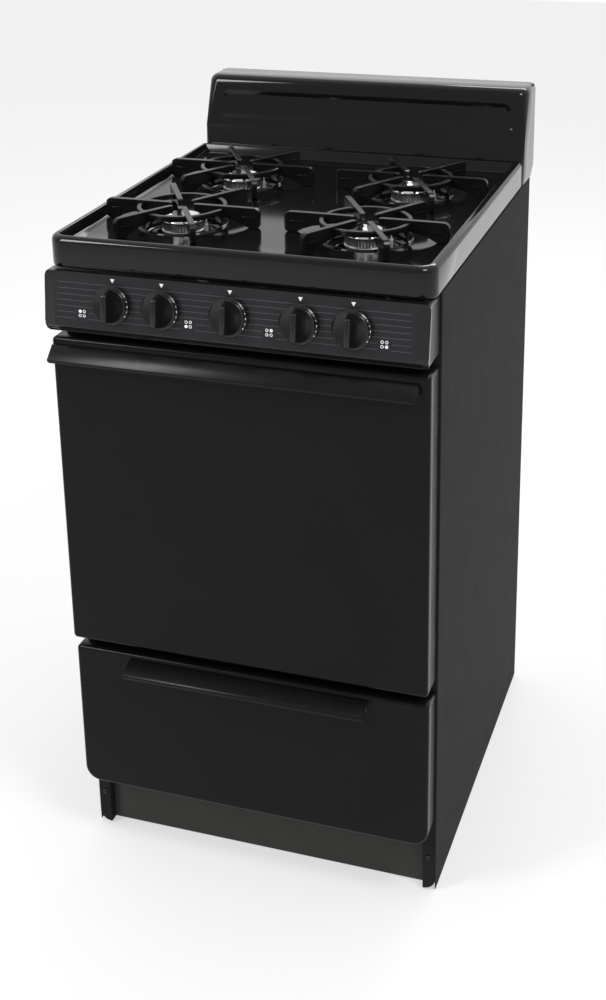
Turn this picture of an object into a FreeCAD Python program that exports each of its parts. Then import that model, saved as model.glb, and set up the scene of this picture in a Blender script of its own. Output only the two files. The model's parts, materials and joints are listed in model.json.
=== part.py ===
# Freestanding gas range, 20 inches wide: one STEP file per piece, in millimetres.
# X runs to the right, Y to the back and Z up. The origin is on the floor, under the middle
# of the whole range.
import FreeCAD, Part
import math
import os
from FreeCAD import Vector

# Body
WIDTH = 508.0
HALF = WIDTH / 2
FRONT = -248.95           # plane of the side panels' front flanges
BODY_DEPTH = 559.0
REAR = FRONT + BODY_DEPTH
SHEET = 1.0               # enamelled steel sheet
BEND = 1.0                # inside radius of a bend in sheet
FLOOR_GAP = 3.0           # the feet hold the side panels this far off the floor
BODY_TOP = 875.0
FLANGE = 18.5             # width of the flanges that face the front
FIT = 0.3                 # gap between pieces that move past each other
SEAT = 0.2                # gap between pieces that only stand beside each other
PIN_GAP = 0.08            # running clearance round a pin

# Kick plate and base
KICK_TOP = 92.0
KICK_BACK = 12.6          # how far the kick plate stands back from the flanges
FOOT_R = 15.0
FOOT_TALL = 8.0
STUD_R = 4.0
BASE_LOW = 12.0
BASE_TALL = 25.0
FEET_X = 222.0
FEET_Y = (-214.0, 290.0)

# Drawer
DRAWER_LOW = 102.0
DRAWER_HIGH = 322.0
DRAWER_FACE = FRONT - 40.0
DRAWER_BACK = FRONT - 3.0
BOX_HALF = 214.0
BOX_REAR = 190.0
BOX_FLOOR = 96.0
BOX_TOP = 215.0
RUNNER_Z = 150.0
RUNNER_OUT = 230.0

# Oven door
DOOR_LOW = 338.0
DOOR_HIGH = 783.0
DOOR_FACE = FRONT - 47.0
DOOR_BACK = FRONT - 6.0
DOOR_AXIS_Y = FRONT - 30.0
DOOR_AXIS_Z = 345.0
DOOR_PIN_R = 3.0
ARM_IN = 222.0
ARM_WIDE = 5.0

# Oven
OVEN_HALF = 203.0
OVEN_LOW = 358.0
OVEN_HIGH = 756.0
OVEN_REAR = 225.0
LINER_LOW = 348.0
LINER_HIGH = 761.0
LINER_SHEET = 1.2
FLUE_HOLE = (-70.0, 70.0, 176.0, 214.0)
GUIDE_LEVELS = (430.0, 510.0, 590.0, 670.0)
GUIDE_DEEP = 10.0
RACK_LEVELS = {"rack_lower": 430.0, "rack_upper": 590.0}
OVEN_BURNER_Z = 321.0
OVEN_BURNER_R = 13.0

# Control panel
PANEL_LOW = 796.0
PANEL_HIGH = 875.3
KNOB_Z = 838.0
PANEL_AT_KNOB = FRONT - 55.0
PANEL_TILT = 8.0          # degrees that the face leans back
KNOBS = {
    "rear_left": -158.0,
    "front_left": -91.0,
    "oven": 0.0,
    "rear_right": 91.0,
    "front_right": 158.0,
}
SKIRT_R = 25.0
SKIRT_THICK = 3.2
KNOB_R = 23.0
KNOB_THICK = 8.0
GRIP_HALF = 5.0
GRIP_REACH = 21.5
KNOB_OUT = 27.87
STEM_R = 3.0
STEM_ROOM = 0.4           # gap round the stem inside its valve
KNOB_LIFT = 3.8           # gap behind the skirt that the push uses

# Cooktop
TOP_LOW = 876.0
TOP_RIM = 917.0
TOP_LEVEL = 902.5
TOP_FACE = FRONT - 41.0
TOP_REAR = FRONT + 487.5
TOP_SHEET = 1.5
TOP_CORNER = 20.0         # front corners, seen from above
TOP_EDGE = 9.0
POCKET_CORNER = 18.0
RIM_WIDE = 15.0
WELL_R = 61.0
WELL_FLOOR_R = 50.0
WELL_HOLE_R = 40.0
WELL_DEEP = 16.0
HINGE_Y = FRONT + 483.0
HINGE_Z = 911.0
HINGE_PIN_R = 2.5

# Burners: name to centre
BURNER_X = 127.0
FRONT_BURNER_Y = FRONT + 107.0
REAR_BURNER_Y = FRONT + 330.0
BURNERS = {
    "rear_left": (-BURNER_X, REAR_BURNER_Y),
    "front_left": (-BURNER_X, FRONT_BURNER_Y),
    "rear_right": (BURNER_X, REAR_BURNER_Y),
    "front_right": (BURNER_X, FRONT_BURNER_Y),
}
HEAD_LOW = 867.2
HEAD_TOP = 906.0
BOWL_R = 18.0
PORTS = 28
CUP_R = 21.0
CAP_R = 28.5
ELECTRODE_OUT = 33.6      # spark electrode, from the burner's centre
GAS_LINE_Z = 856.0
TRAY_FLOOR = 790.0

# Grates
GRATE_R = 110.0
GRATE_TOP = 930.0
BLADE_THICK = 6.0
BLADES = 6
TIP_IN = 16.0             # the blades' inner tips, from the grate's centre

# Gas supply
MANIFOLD_Y = FRONT - 12.0
MANIFOLD_R = 8.5
SUPPLY_X = 218.0
INLET_R = 9.5
INLET_LONG = 14.0

# Backguard
GUARD_FACE = FRONT + 491.0
GUARD_LOW = 876.5
CREASE_Z = 945.0
GUARD_TOP = 1017.0
GUARD_LEAN = 31.0
GUARD_REAR = FRONT + 583.0
VENTS = 27
VENT_PITCH = 9.4

X = Vector(1, 0, 0)
Y = Vector(0, 1, 0)
Z = Vector(0, 0, 1)
FORWARD = Vector(0, -1, 0)
OVER = 5.0                # how far a cutting tool runs past the face that it cuts


# ---- Shapes used throughout ----

def box(x0, x1, y0, y1, z0, z1):
    return Part.makeBox(x1 - x0, y1 - y0, z1 - z0, Vector(x0, y0, z0))


def rod(radius, start, end):
    path = end - start
    return Part.makeCylinder(radius, path.Length, start, path)


def join(shapes):
    first = shapes[0]
    if len(shapes) == 1:
        return first
    return first.fuse(shapes[1:]).removeSplitter()


def mirrored(shape):
    return shape.mirror(Vector(0, 0, 0), X)


def both_sides(shape):
    return [shape, mirrored(shape)]


def rounded_wire(points, radii):
    """A closed outline through 3-D points in one plane, each corner rounded by its radius."""
    corners = []
    count = len(points)
    for index, corner in enumerate(points):
        before = points[index - 1]
        after = points[(index + 1) % count]
        radius = radii[index]
        to_before = (before - corner).normalize()
        to_after = (after - corner).normalize()
        half_angle = to_before.getAngle(to_after) / 2
        if radius == 0:
            corners.append((corner, corner, corner))
            continue
        reach = radius / math.tan(half_angle)
        middle_way = (to_before + to_after).normalize()
        to_centre = radius / math.sin(half_angle)
        middle = corner + middle_way * (to_centre - radius)
        corners.append((corner + to_before * reach, middle, corner + to_after * reach))
    edges = []
    for index, (start, middle, end) in enumerate(corners):
        if (end - start).Length > 1e-6:
            edges.append(Part.Arc(start, middle, end).toShape())
        next_start = corners[(index + 1) % count][0]
        if (next_start - end).Length > 1e-6:
            edges.append(Part.LineSegment(end, next_start).toShape())
    return Part.Wire(edges)


def plate(points, radii, along):
    """A prism: the rounded outline through the points, pushed along a vector."""
    return Part.Face(rounded_wire(points, radii)).extrude(along)


def bent_sheet(path, thickness, along, bend=BEND):
    """Sheet of one thickness, folded along a path of points and pushed along a vector."""
    normal = Vector(along).normalize()
    last = len(path) - 1
    left = []
    right = []
    left_radii = []
    right_radii = []
    for index, point in enumerate(path):
        ends = index in (0, last)
        behind = (path[max(index, 1)] - path[max(index, 1) - 1]).normalize()
        ahead = (path[min(index + 1, last)] - path[min(index, last - 1)]).normalize()
        side = normal.cross(behind) + normal.cross(ahead)
        side = side.normalize()
        stretch = 1 / side.dot(normal.cross(ahead))
        left.append(point + side * (stretch * thickness / 2))
        right.append(point - side * (stretch * thickness / 2))
        turn = behind.cross(ahead).dot(normal)
        outside = bend + thickness
        left_radii.append(0 if ends else (bend if turn > 0 else outside))
        right_radii.append(0 if ends else (outside if turn > 0 else bend))
    points = left + right[::-1]
    radii = left_radii + right_radii[::-1]
    return plate(points, radii, along)


def edges_along(shape, direction, test):
    """Straight edges of a shape that lie along a direction and pass a test on their middle."""
    found = []
    for edge in shape.Edges:
        if len(edge.Vertexes) < 2:
            continue
        run = edge.Vertexes[1].Point - edge.Vertexes[0].Point
        if run.Length < 1e-6 or abs(abs(run.normalize().dot(direction)) - 1) > 1e-6:
            continue
        if test(edge.CenterOfMass):
            found.append(edge)
    return found


def edges_in_plane(shape, axis, value):
    """Edges of a shape that lie wholly in the plane where one coordinate has a value."""
    found = []
    for edge in shape.Edges:
        low = edge.BoundBox
        span = ((low.XMin, low.XMax), (low.YMin, low.YMax), (low.ZMin, low.ZMax))[axis]
        if abs(span[0] - value) < 1e-4 and abs(span[1] - value) < 1e-4:
            found.append(edge)
    return found


def front_pan(half, y0, y1, z0, z1, low_corner, high_corner, edge, sheet):
    """A pan of folded sheet that faces forward, with rounded corners and edges, open behind."""
    def block(inset):
        solid = box(-half + inset, half - inset, y0 + inset, y1 + (OVER if inset else 0),
                    z0 + inset, z1 - inset)
        middle = (z0 + z1) / 2
        low = edges_along(solid, Y, lambda place: place.z < middle)
        solid = solid.makeFillet(low_corner - inset, low)
        high = edges_along(solid, Y, lambda place: place.z > middle)
        solid = solid.makeFillet(high_corner - inset, high)
        return solid.makeFillet(edge - inset, edges_in_plane(solid, 1, y0 + inset))
    return block(0).cut(block(sheet))


def pipe(points, radius, bend):
    """A round bar along straight runs joined by tangent arcs."""
    edges = []
    start = points[0]
    for index in range(1, len(points) - 1):
        corner = points[index]
        back = (points[index - 1] - corner).normalize()
        onward = (points[index + 1] - corner).normalize()
        half_angle = back.getAngle(onward) / 2
        reach = bend / math.tan(half_angle)
        middle = corner + (back + onward).normalize() * (bend / math.sin(half_angle) - bend)
        edges.append(Part.LineSegment(start, corner + back * reach).toShape())
        edges.append(Part.Arc(corner + back * reach, middle, corner + onward * reach).toShape())
        start = corner + onward * reach
    edges.append(Part.LineSegment(start, points[-1]).toShape())
    spine = Part.Wire(edges)
    heading = (points[1] - points[0]).normalize()
    ring = Part.Wire([Part.Circle(points[0], heading, radius).toShape()])
    return spine.makePipeShell([ring], True, False)


def revolved(profile, radii, centre):
    """A solid of revolution about the vertical line through a centre; profile is (r, z) pairs."""
    points = [Vector(r, 0, z) for r, z in profile]
    face = Part.Face(rounded_wire(points, radii))
    solid = face.revolve(Vector(0, 0, 0), Z, 360)
    solid.translate(Vector(centre[0], centre[1], 0))
    return solid


def knob_frame(shape, x):
    """Puts a shape drawn with its face at the origin, facing forward, on the panel at x."""
    placed = shape.copy()
    placed.rotate(Vector(0, 0, 0), X, -PANEL_TILT)
    placed.translate(Vector(x, PANEL_AT_KNOB, KNOB_Z))
    return placed


# ---- Screws: place, direction of the head, for every screwed joint ----

SCREW_R = 1.8
SCREW_HEAD_R = 4.0
SCREW_HEAD_TALL = 1.8
SCREW_LONG = 7.0


def flange_screws():
    x = HALF - FLANGE / 2 - 1
    return [(Vector(side * x, FRONT, z), FORWARD) for side in (-1, 1) for z in (54.0, 330.0)]


def rear_screws():
    y = REAR - 1.2
    heights = (60.0, 300.0, 560.0, 820.0)
    return [(Vector(side * 228.0, y, z), Y) for side in (-1, 1) for z in heights]


def guard_screws():
    y = GUARD_REAR - 1.6
    return [(Vector(side * x, y, 990.0), Y) for side in (-1, 1) for x in (90.0, 225.0)]


def screw(place, out):
    head = Part.makeCylinder(SCREW_HEAD_R, SCREW_HEAD_TALL, place, out)
    top = edges_at_distance(head, place, out, SCREW_HEAD_TALL)
    head = head.makeFillet(1.2, top)
    slot_long = 2.2 * SCREW_HEAD_R
    slot = Part.makeBox(slot_long, 1.0, 2.0, Vector(-slot_long / 2, -0.5, -0.7))
    slot.rotate(Vector(0, 0, 0), X, 90 if out.y < 0 else -90)
    slot.translate(place + out * SCREW_HEAD_TALL)
    shank = Part.makeCylinder(SCREW_R, SCREW_LONG, place - out * SCREW_LONG, out)
    return head.cut(slot).fuse(shank).removeSplitter()


def edges_at_distance(shape, place, out, distance):
    found = []
    for edge in shape.Edges:
        if abs((edge.CenterOfMass - place).dot(out) - distance) < 1e-4:
            found.append(edge)
    return found


def drill(shape, screws):
    """Cuts a clear hole for each screw's shank."""
    holes = []
    for place, out in screws:
        holes.append(Part.makeCylinder(SCREW_R + 0.1, 2 * SCREW_LONG, place - out * SCREW_LONG, out))
    return shape.cut(holes)


# ---- Chassis: casing ----

def side_panel_right():
    lip = 15.0
    z0 = FLOOR_GAP
    half_sheet = SHEET / 2
    outer = HALF - half_sheet
    path = [
        Vector(HALF - FLANGE + half_sheet, FRONT + lip, z0),
        Vector(HALF - FLANGE + half_sheet, FRONT + half_sheet, z0),
        Vector(outer, FRONT + half_sheet, z0),
        Vector(outer, REAR - half_sheet, z0),
        Vector(HALF - lip, REAR - half_sheet, z0),
    ]
    skin = bent_sheet(path, SHEET, Z * (BODY_TOP - z0))
    bottom = box(HALF - lip, HALF - half_sheet, FRONT + lip, REAR - half_sheet, z0, z0 + SHEET)
    top = box(HALF - lip, HALF - half_sheet, FRONT + lip, REAR - half_sheet,
              BODY_TOP - SHEET, BODY_TOP)
    panel = join([skin, bottom, top])
    corner = 18.0
    waste = box(HALF - corner, HALF + OVER, FRONT - OVER, FRONT + 2, z0 - OVER, z0 + corner)
    keep = rod(corner, Vector(HALF - corner, FRONT - OVER, z0 + corner),
               Vector(HALF - corner, FRONT + 2, z0 + corner))
    panel = panel.cut(waste.cut(keep))
    return drill(panel, flange_screws())


def back_panel():
    y = REAR - SHEET - 0.2
    sheet = box(-HALF + 2, HALF - 2, y - SHEET, y, 40.0, BODY_TOP - 2)
    inlet = rod(20.0, Vector(SUPPLY_X, y - OVER, KNOB_Z), Vector(SUPPLY_X, y + OVER, KNOB_Z))
    slots = []
    for row in range(3):
        for column in range(-6, 7):
            x = column * 24.0
            z = 700.0 + row * 22.0
            slots.append(box(x - 8, x + 8, y - OVER, y + OVER, z, z + 4))
    sheet = sheet.cut([inlet] + slots)
    return drill(sheet, rear_screws())


def base_frame():
    x = HALF - 4.0
    y0 = FRONT + 16.0
    y1 = REAR - 4.0
    wall = 1.5
    shelf = 46.0
    low = BASE_LOW
    high = BASE_LOW + BASE_TALL
    web = box(-x, x, y0, y1, low, high)
    web = web.cut(box(-x + wall, x - wall, y0 + wall, y1 - wall, low - OVER, high + OVER))
    ledge = box(-x, x, y0, y1, low, low + wall)
    ledge = ledge.cut(box(-x + shelf, x - shelf, y0 + shelf, y1 - shelf, low - OVER, low + OVER))
    frame = join([web, ledge])
    holes = []
    for foot_x in (-FEET_X, FEET_X):
        for foot_y in FEET_Y:
            holes.append(Part.makeCylinder(STUD_R + 0.15, 10, Vector(foot_x, foot_y, low - OVER)))
    return frame.cut(holes)


def leveling_feet():
    feet = []
    for foot_x in (-FEET_X, FEET_X):
        for foot_y in FEET_Y:
            profile = [(0, 0), (FOOT_R - 1.5, 0), (FOOT_R, 1.5), (FOOT_R, FOOT_TALL - 3),
                       (STUD_R + 3.5, FOOT_TALL), (STUD_R + 3.5, BASE_LOW - SEAT),
                       (STUD_R, BASE_LOW - SEAT), (STUD_R, BASE_LOW + 18), (0, BASE_LOW + 18)]
            feet.append(revolved(profile, [0, 0, 0, 0, 0, 0, 0, 0, 0], (foot_x, foot_y)))
    return Part.makeCompound(feet)


def kick_plate():
    y = FRONT + KICK_BACK + SHEET / 2
    half = HALF - FLANGE - SEAT
    low = FLOOR_GAP + 1
    path = [
        Vector(-half, y, low),
        Vector(-half, y, KICK_TOP - SHEET / 2),
        Vector(-half, y + 20, KICK_TOP - SHEET / 2),
    ]
    return bent_sheet(path, SHEET, X * (2 * half))


def around_hole(outer, hole):
    """Four flat strips of sheet that leave a rectangular hole: low, high, left and right."""
    x0, x1, z0, z1 = outer
    a0, a1, c0, c1 = hole
    return [(x0, x1, z0, c0), (x0, x1, c1, z1), (x0, a0, c0, c1), (a1, x1, c0, c1)]


def front_frame():
    """Four flat rails welded round the oven's mouth, a stiffener and the two door hinge arms."""
    half = HALF - FLANGE - SEAT
    y0 = FRONT + 0.4
    y1 = y0 + 1.2
    low = 304.0
    outer = (-half, half, low, BODY_TOP - 2)
    mouth = (-OVEN_HALF, OVEN_HALF, OVEN_LOW, OVEN_HIGH)
    rails = [box(x0, x1, y0, y1, z0, z1) for x0, x1, z0, z1 in around_hole(outer, mouth)]
    holes = []
    for x in KNOBS.values():
        holes.append(rod(7.0, Vector(x, y0 - OVER, GAS_LINE_Z), Vector(x, y0 + OVER, GAS_LINE_Z)))
    holes.append(rod(MANIFOLD_R + 1, Vector(SUPPLY_X, y0 - OVER, KNOB_Z),
                     Vector(SUPPLY_X, y0 + OVER, KNOB_Z)))
    rails = [rail.cut(holes) for rail in rails]
    stiffener = box(-half, half, y1, y0 + 14, low, low + 1.5)
    arm = box(ARM_IN, ARM_IN + ARM_WIDE, DOOR_AXIS_Y, y0, DOOR_AXIS_Z - 3.5, DOOR_AXIS_Z + 3.5)
    boss = rod(3.5, Vector(ARM_IN, DOOR_AXIS_Y, DOOR_AXIS_Z),
               Vector(ARM_IN + ARM_WIDE, DOOR_AXIS_Y, DOOR_AXIS_Z))
    pin = rod(DOOR_PIN_R, Vector(ARM_IN - 9, DOOR_AXIS_Y, DOOR_AXIS_Z),
              Vector(ARM_IN + 1, DOOR_AXIS_Y, DOOR_AXIS_Z))
    return Part.makeCompound(rails + [stiffener] + both_sides(join([arm, boss, pin])))


# ---- Chassis: oven ----

def oven_liner():
    """Flat sheets welded at their edges: walls, roof, front flange, low ledges and rack guides."""
    wall = LINER_SHEET
    y0 = FRONT + 2.0
    flange_y = y0 + wall
    rear = OVEN_REAR + wall
    side = OVEN_HALF + wall
    roof = LINER_HIGH - wall
    sheets = [box(-side, side, OVEN_REAR, rear, LINER_LOW, LINER_HIGH)]
    sheets += both_sides(box(OVEN_HALF, side, flange_y, OVEN_REAR, LINER_LOW, roof))
    for x0, x1, near, far in around_hole((-side, side, flange_y, OVEN_REAR), FLUE_HOLE):
        sheets.append(box(x0, x1, near, far, roof, LINER_HIGH))
    mouth = (-OVEN_HALF, OVEN_HALF, LINER_LOW, roof)
    for x0, x1, low, high in around_hole((-228.0, 228.0, 338.0, 774.0), mouth):
        sheets.append(box(x0, x1, y0, flange_y, low, high))
    ledge = OVEN_HALF - 15.0
    floor = LINER_LOW + wall
    sheets.append(box(-OVEN_HALF, OVEN_HALF, flange_y, y0 + 15.0, LINER_LOW, floor))
    sheets.append(box(-OVEN_HALF, OVEN_HALF, OVEN_REAR - 15.0, OVEN_REAR, LINER_LOW, floor))
    sheets += both_sides(box(ledge, OVEN_HALF, y0 + 15.0, OVEN_REAR - 15.0, LINER_LOW, floor))
    for level in GUIDE_LEVELS:
        guide = box(OVEN_HALF - GUIDE_DEEP, OVEN_HALF, -232.0, OVEN_REAR, level - 4, level)
        sheets += both_sides(guide)
    return Part.makeCompound(sheets)


def oven_bottom():
    z = LINER_LOW + LINER_SHEET + SEAT
    half = OVEN_HALF - 2
    sheet = box(-half, half, FRONT + 6, OVEN_REAR - 2, z, z + LINER_SHEET)
    slots = []
    for step in range(-5, 6):
        y = step * 38.0
        slot = box(160.0, 185.0, y - 5, y + 5, z - OVER, z + OVER)
        slots += both_sides(slot)
    lift_hole = rod(12.0, Vector(0, 190, z - OVER), Vector(0, 190, z + OVER))
    return sheet.cut(slots + [lift_hole])


def oven_burner():
    y0 = -190.0
    y1 = 180.0
    tube = rod(OVEN_BURNER_R, Vector(0, y0, OVEN_BURNER_Z), Vector(0, y1, OVEN_BURNER_Z))
    mouth = rod(7.0, Vector(0, y0 - OVER, OVEN_BURNER_Z), Vector(0, y0 + 40, OVEN_BURNER_Z))
    tube = tube.cut(mouth)
    ports = []
    for step in range(-9, 11):
        y = step * 16.0
        ports.append(rod(1.2, Vector(-30, y, OVEN_BURNER_Z), Vector(-OVEN_BURNER_R + 2, y, OVEN_BURNER_Z)))
        ports.append(rod(1.2, Vector(OVEN_BURNER_R - 2, y, OVEN_BURNER_Z), Vector(30, y, OVEN_BURNER_Z)))
    tube = tube.cut(ports)
    spreader_z = 340.0
    spreader = plate([Vector(-75, -170, spreader_z - 8), Vector(0, -170, spreader_z),
                      Vector(75, -170, spreader_z - 8), Vector(75, -170, spreader_z - 6.5),
                      Vector(0, -170, spreader_z + 1.5), Vector(-75, -170, spreader_z - 6.5)],
                     [0, 0, 0, 0, 0, 0], Y * 320)
    pieces = [tube, spreader]
    for y in (-150.0, 120.0):
        pieces.append(box(-196, 196, y - 6, y + 6, LINER_LOW - 3, LINER_LOW - SEAT))
        pieces.append(box(-4, 4, y - 6, y + 6, OVEN_BURNER_Z + 8, LINER_LOW - 2))
    return join(pieces)


def oven_gas_tube():
    radius = 3.2
    x = HALF - 10.0
    under_pipe = KNOB_Z - 20.0
    route = [Vector(0, FRONT + 13, GAS_LINE_Z), Vector(0, FRONT + 26, GAS_LINE_Z),
             Vector(0, FRONT + 26, under_pipe), Vector(x, FRONT + 26, under_pipe),
             Vector(x, FRONT + 26, OVEN_BURNER_Z), Vector(0, FRONT + 26, OVEN_BURNER_Z),
             Vector(0, FRONT + 48, OVEN_BURNER_Z)]
    tube = pipe(route, radius, 9.0)
    hood = rod(5.5, Vector(0, FRONT + 40, OVEN_BURNER_Z), Vector(0, FRONT + 52, OVEN_BURNER_Z))
    return join([tube, hood])


def insulation():
    gap = LINER_SHEET + SEAT
    y0 = FRONT + 2.0 + gap
    outer = box(-234, 234, y0, 252, LINER_LOW + 2, 786)
    inner = box(-OVEN_HALF - gap, OVEN_HALF + gap, y0 - OVER, OVEN_REAR + gap,
                LINER_LOW - OVER, LINER_HIGH + SEAT)
    flue = box(-83, 83, 172.0, 219.0, LINER_HIGH - OVER, 790)
    return outer.cut(inner).cut(flue)


def flue_duct():
    half = 80.0
    wall = 1.0
    low = LINER_HIGH + SEAT
    front, throat, mouth, rear = 174, 217, 256, 300
    knee, roof, top = 800, 840, 926
    x = -half
    outer = [Vector(x, front, low), Vector(x, throat, low), Vector(x, throat, knee),
             Vector(x, rear, knee), Vector(x, rear, top), Vector(x, mouth, top),
             Vector(x, mouth, roof), Vector(x, front, roof)]
    x = -half + wall
    inner = [Vector(x, front + wall, low - OVER), Vector(x, throat - wall, low - OVER),
             Vector(x, throat - wall, knee + wall), Vector(x, rear - wall, knee + wall),
             Vector(x, rear - wall, top + OVER), Vector(x, mouth + wall, top + OVER),
             Vector(x, mouth + wall, roof - wall), Vector(x, front + wall, roof - wall)]
    sharp = [0] * len(outer)
    duct = plate(outer, sharp, X * (2 * half))
    return duct.cut(plate(inner, sharp, X * (2 * half - 2 * wall)))


def door_gasket():
    radius = 2.6
    x = OVEN_HALF + 5.0
    y = FRONT + 0.4 - radius - 0.05
    low = OVEN_LOW - 3.2
    high = OVEN_HIGH + 4.0
    middle = Vector(0, y, low)
    loop = [middle, Vector(x, y, low), Vector(x, y, high), Vector(-x, y, high),
            Vector(-x, y, low), Vector(-0.5, y, low)]
    return pipe(loop, radius, 12.0)


def rack(level):
    """A wire rack: four sides with a ball at each corner, a middle rod, cross wires and a rear stop."""
    wire = 3.0
    cross = 2.7
    fine = 1.8
    half = OVEN_HALF - 6.5
    front = -222.0
    rear = 212.0
    rise = 18.0
    z = level + wire + 0.1

    def side_to_side(radius, y, height):
        return rod(radius, Vector(-half, y, height), Vector(half, y, height))

    rods = [side_to_side(cross, front, z), side_to_side(cross, rear, z), side_to_side(cross, 0, z),
            side_to_side(cross - 0.2, rear, z + rise)]
    rods += both_sides(rod(cross - 0.1, Vector(half, front, z), Vector(half, rear, z)))
    rods += both_sides(rod(cross - 0.1, Vector(half, rear, z), Vector(half, rear, z + rise)))
    for place in (Vector(half, front, z), Vector(half, rear, z), Vector(half, rear, z + rise)):
        rods += both_sides(Part.makeSphere(wire, place))
    count = 15
    step = 2 * half / (count + 1)
    for index in range(1, count + 1):
        x = -half + index * step
        rods.append(rod(fine, Vector(x, front, z + 0.5), Vector(x, rear, z + 0.5)))
    return join(rods)


# ---- Chassis: gas and burners ----

def burner_box():
    half = HALF - FLANGE - 1.0
    y0 = FRONT + 4.0
    y1 = FRONT + 418.0
    tall = 14.0
    tray = box(-half, half, y0, y1, TRAY_FLOOR, TRAY_FLOOR + tall)
    tray = tray.cut(box(-half + SHEET, half - SHEET, y0 + SHEET, y1 - SHEET,
                        TRAY_FLOOR + SHEET, TRAY_FLOOR + tall + OVER))
    return tray


def manifold_pipe():
    end_y = 236.0
    route = [Vector(-178, MANIFOLD_Y, KNOB_Z), Vector(SUPPLY_X, MANIFOLD_Y, KNOB_Z),
             Vector(SUPPLY_X, end_y, KNOB_Z)]
    outer = pipe(route, MANIFOLD_R, 11.0)
    long_route = [Vector(-172, MANIFOLD_Y, KNOB_Z), route[1], Vector(SUPPLY_X, end_y + 1, KNOB_Z)]
    return outer.cut(pipe(long_route, MANIFOLD_R - 2.2, 11.0))


def valve_block(x):
    """A cast valve body on the front of the manifold, with its outlet spigot above."""
    shell = Part.makeCylinder(8.5, 20, Vector(0, 26, 0), FORWARD)
    bore = Part.makeCylinder(STEM_R + STEM_ROOM, 15, Vector(0, 20, 0), FORWARD)
    body = knob_frame(shell, x)
    front = PANEL_AT_KNOB + 12
    web = box(x - 7, x + 7, front, MANIFOLD_Y, KNOB_Z + 2, GAS_LINE_Z + 5)
    spigot = rod(4.0, Vector(x, front + 5, GAS_LINE_Z), Vector(x, FRONT + 13, GAS_LINE_Z))
    block = join([body, web, spigot])
    seat = rod(MANIFOLD_R, Vector(x - 30, MANIFOLD_Y, KNOB_Z), Vector(x + 30, MANIFOLD_Y, KNOB_Z))
    return block.cut([seat, knob_frame(bore, x)])


def burner_valves():
    return Part.makeCompound([valve_block(x) for name, x in KNOBS.items() if name != "oven"])


def oven_thermostat():
    block = box(-19, 19, PANEL_AT_KNOB + 10, MANIFOLD_Y, KNOB_Z - 17, KNOB_Z + 22)
    block = block.makeFillet(3.0, edges_along(block, Y, lambda place: True))
    spigot = rod(4.5, Vector(0, MANIFOLD_Y - 2, GAS_LINE_Z), Vector(0, FRONT + 13, GAS_LINE_Z))
    body = join([block, spigot])
    seat = rod(MANIFOLD_R, Vector(-40, MANIFOLD_Y, KNOB_Z), Vector(40, MANIFOLD_Y, KNOB_Z))
    bore = Part.makeCylinder(STEM_R + STEM_ROOM, 30, Vector(0, 20, 0), FORWARD)
    return body.cut([seat, knob_frame(bore, 0)])


def gas_regulator():
    x = SUPPLY_X
    y0 = 236.0 + SEAT
    can = rod(24.0, Vector(x, 262, KNOB_Z - 16), Vector(x, 262, KNOB_Z + 12))
    can = can.makeFillet(4.0, edges_in_plane(can, 2, KNOB_Z + 12))
    bonnet = rod(11.0, Vector(x, 262, KNOB_Z + 10), Vector(x, 262, KNOB_Z + 26))
    neck = rod(11.0, Vector(x, y0, KNOB_Z), Vector(x, 262, KNOB_Z))
    nipple = rod(14.0, Vector(x, 262, KNOB_Z), Vector(x, REAR - 1, KNOB_Z))
    body = join([can, bonnet, neck, nipple])
    bore = rod(INLET_R, Vector(x, REAR - 1 - INLET_LONG, KNOB_Z), Vector(x, REAR + OVER, KNOB_Z))
    return body.cut(bore)


def spark_module():
    case = box(-52, 52, 96, 138, TRAY_FLOOR + SHEET + SEAT, TRAY_FLOOR + 30)
    case = case.makeFillet(2.5, edges_along(case, Z, lambda place: True))
    towers = []
    for index in range(4):
        x = -36 + index * 24
        towers.append(rod(4.0, Vector(x, 117, TRAY_FLOOR + 29), Vector(x, 117, TRAY_FLOOR + 38)))
    return join([case] + towers)


def burner_tube(name):
    """One burner's mixing tube and cup, a casting that stands on the burner box."""
    x, y = BURNERS[name]
    start_x = KNOBS[name]
    mouth_y = FRONT + 11.0
    z = GAS_LINE_Z
    cup_low = GAS_LINE_Z - 13
    cup = Part.makeCylinder(CUP_R, HEAD_LOW - SEAT - cup_low, Vector(x, y, cup_low))
    bend_y = y - 62.0 if name.startswith("rear") else y - 48.0
    straight = rod(8.0, Vector(start_x, mouth_y, z), Vector(start_x, bend_y, z))
    elbow = Part.makeSphere(8.0, Vector(start_x, bend_y, z))
    slanted = rod(8.0, Vector(start_x, bend_y, z), Vector(x, y, z))
    bell = Part.makeCone(11.0, 8.0, 16.0, Vector(start_x, mouth_y, z), Y)
    leg_low = TRAY_FLOOR + SHEET + SEAT
    leg = Part.makeCylinder(5.0, cup_low - leg_low + 1, Vector(x, y, leg_low))
    tube = join([cup, straight, elbow, slanted, bell, leg])
    throat = rod(5.0, Vector(start_x, mouth_y - OVER, z), Vector(start_x, mouth_y + 30, z))
    return tube.cut(throat)


def burner_tubes():
    return Part.makeCompound([burner_tube(name) for name in BURNERS])


def burner_head(name):
    """Cast head with a ring of ports under its flange."""
    x, y = BURNERS[name]
    neck = 18.5
    flange = CAP_R
    ring = CAP_R - 3
    profile = [(0, HEAD_LOW), (neck, HEAD_LOW), (neck, 884), (flange, 892), (flange, 895),
               (ring, 896.5), (ring, HEAD_TOP), (0, HEAD_TOP)]
    body = revolved(profile, [0] * len(profile), (x, y))
    slots = []
    for index in range(PORTS):
        slot = box(ring - 3, CAP_R + OVER, -0.9, 0.9, 897, HEAD_TOP + 1)
        slot.rotate(Vector(0, 0, 0), Z, index * 360 / PORTS)
        slot.translate(Vector(x, y, 0))
        slots.append(slot)
    bowl = Part.makeCylinder(BOWL_R, OVER + 20, Vector(x, y, HEAD_TOP - 18))
    return body.cut(slots + [bowl])


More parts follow.
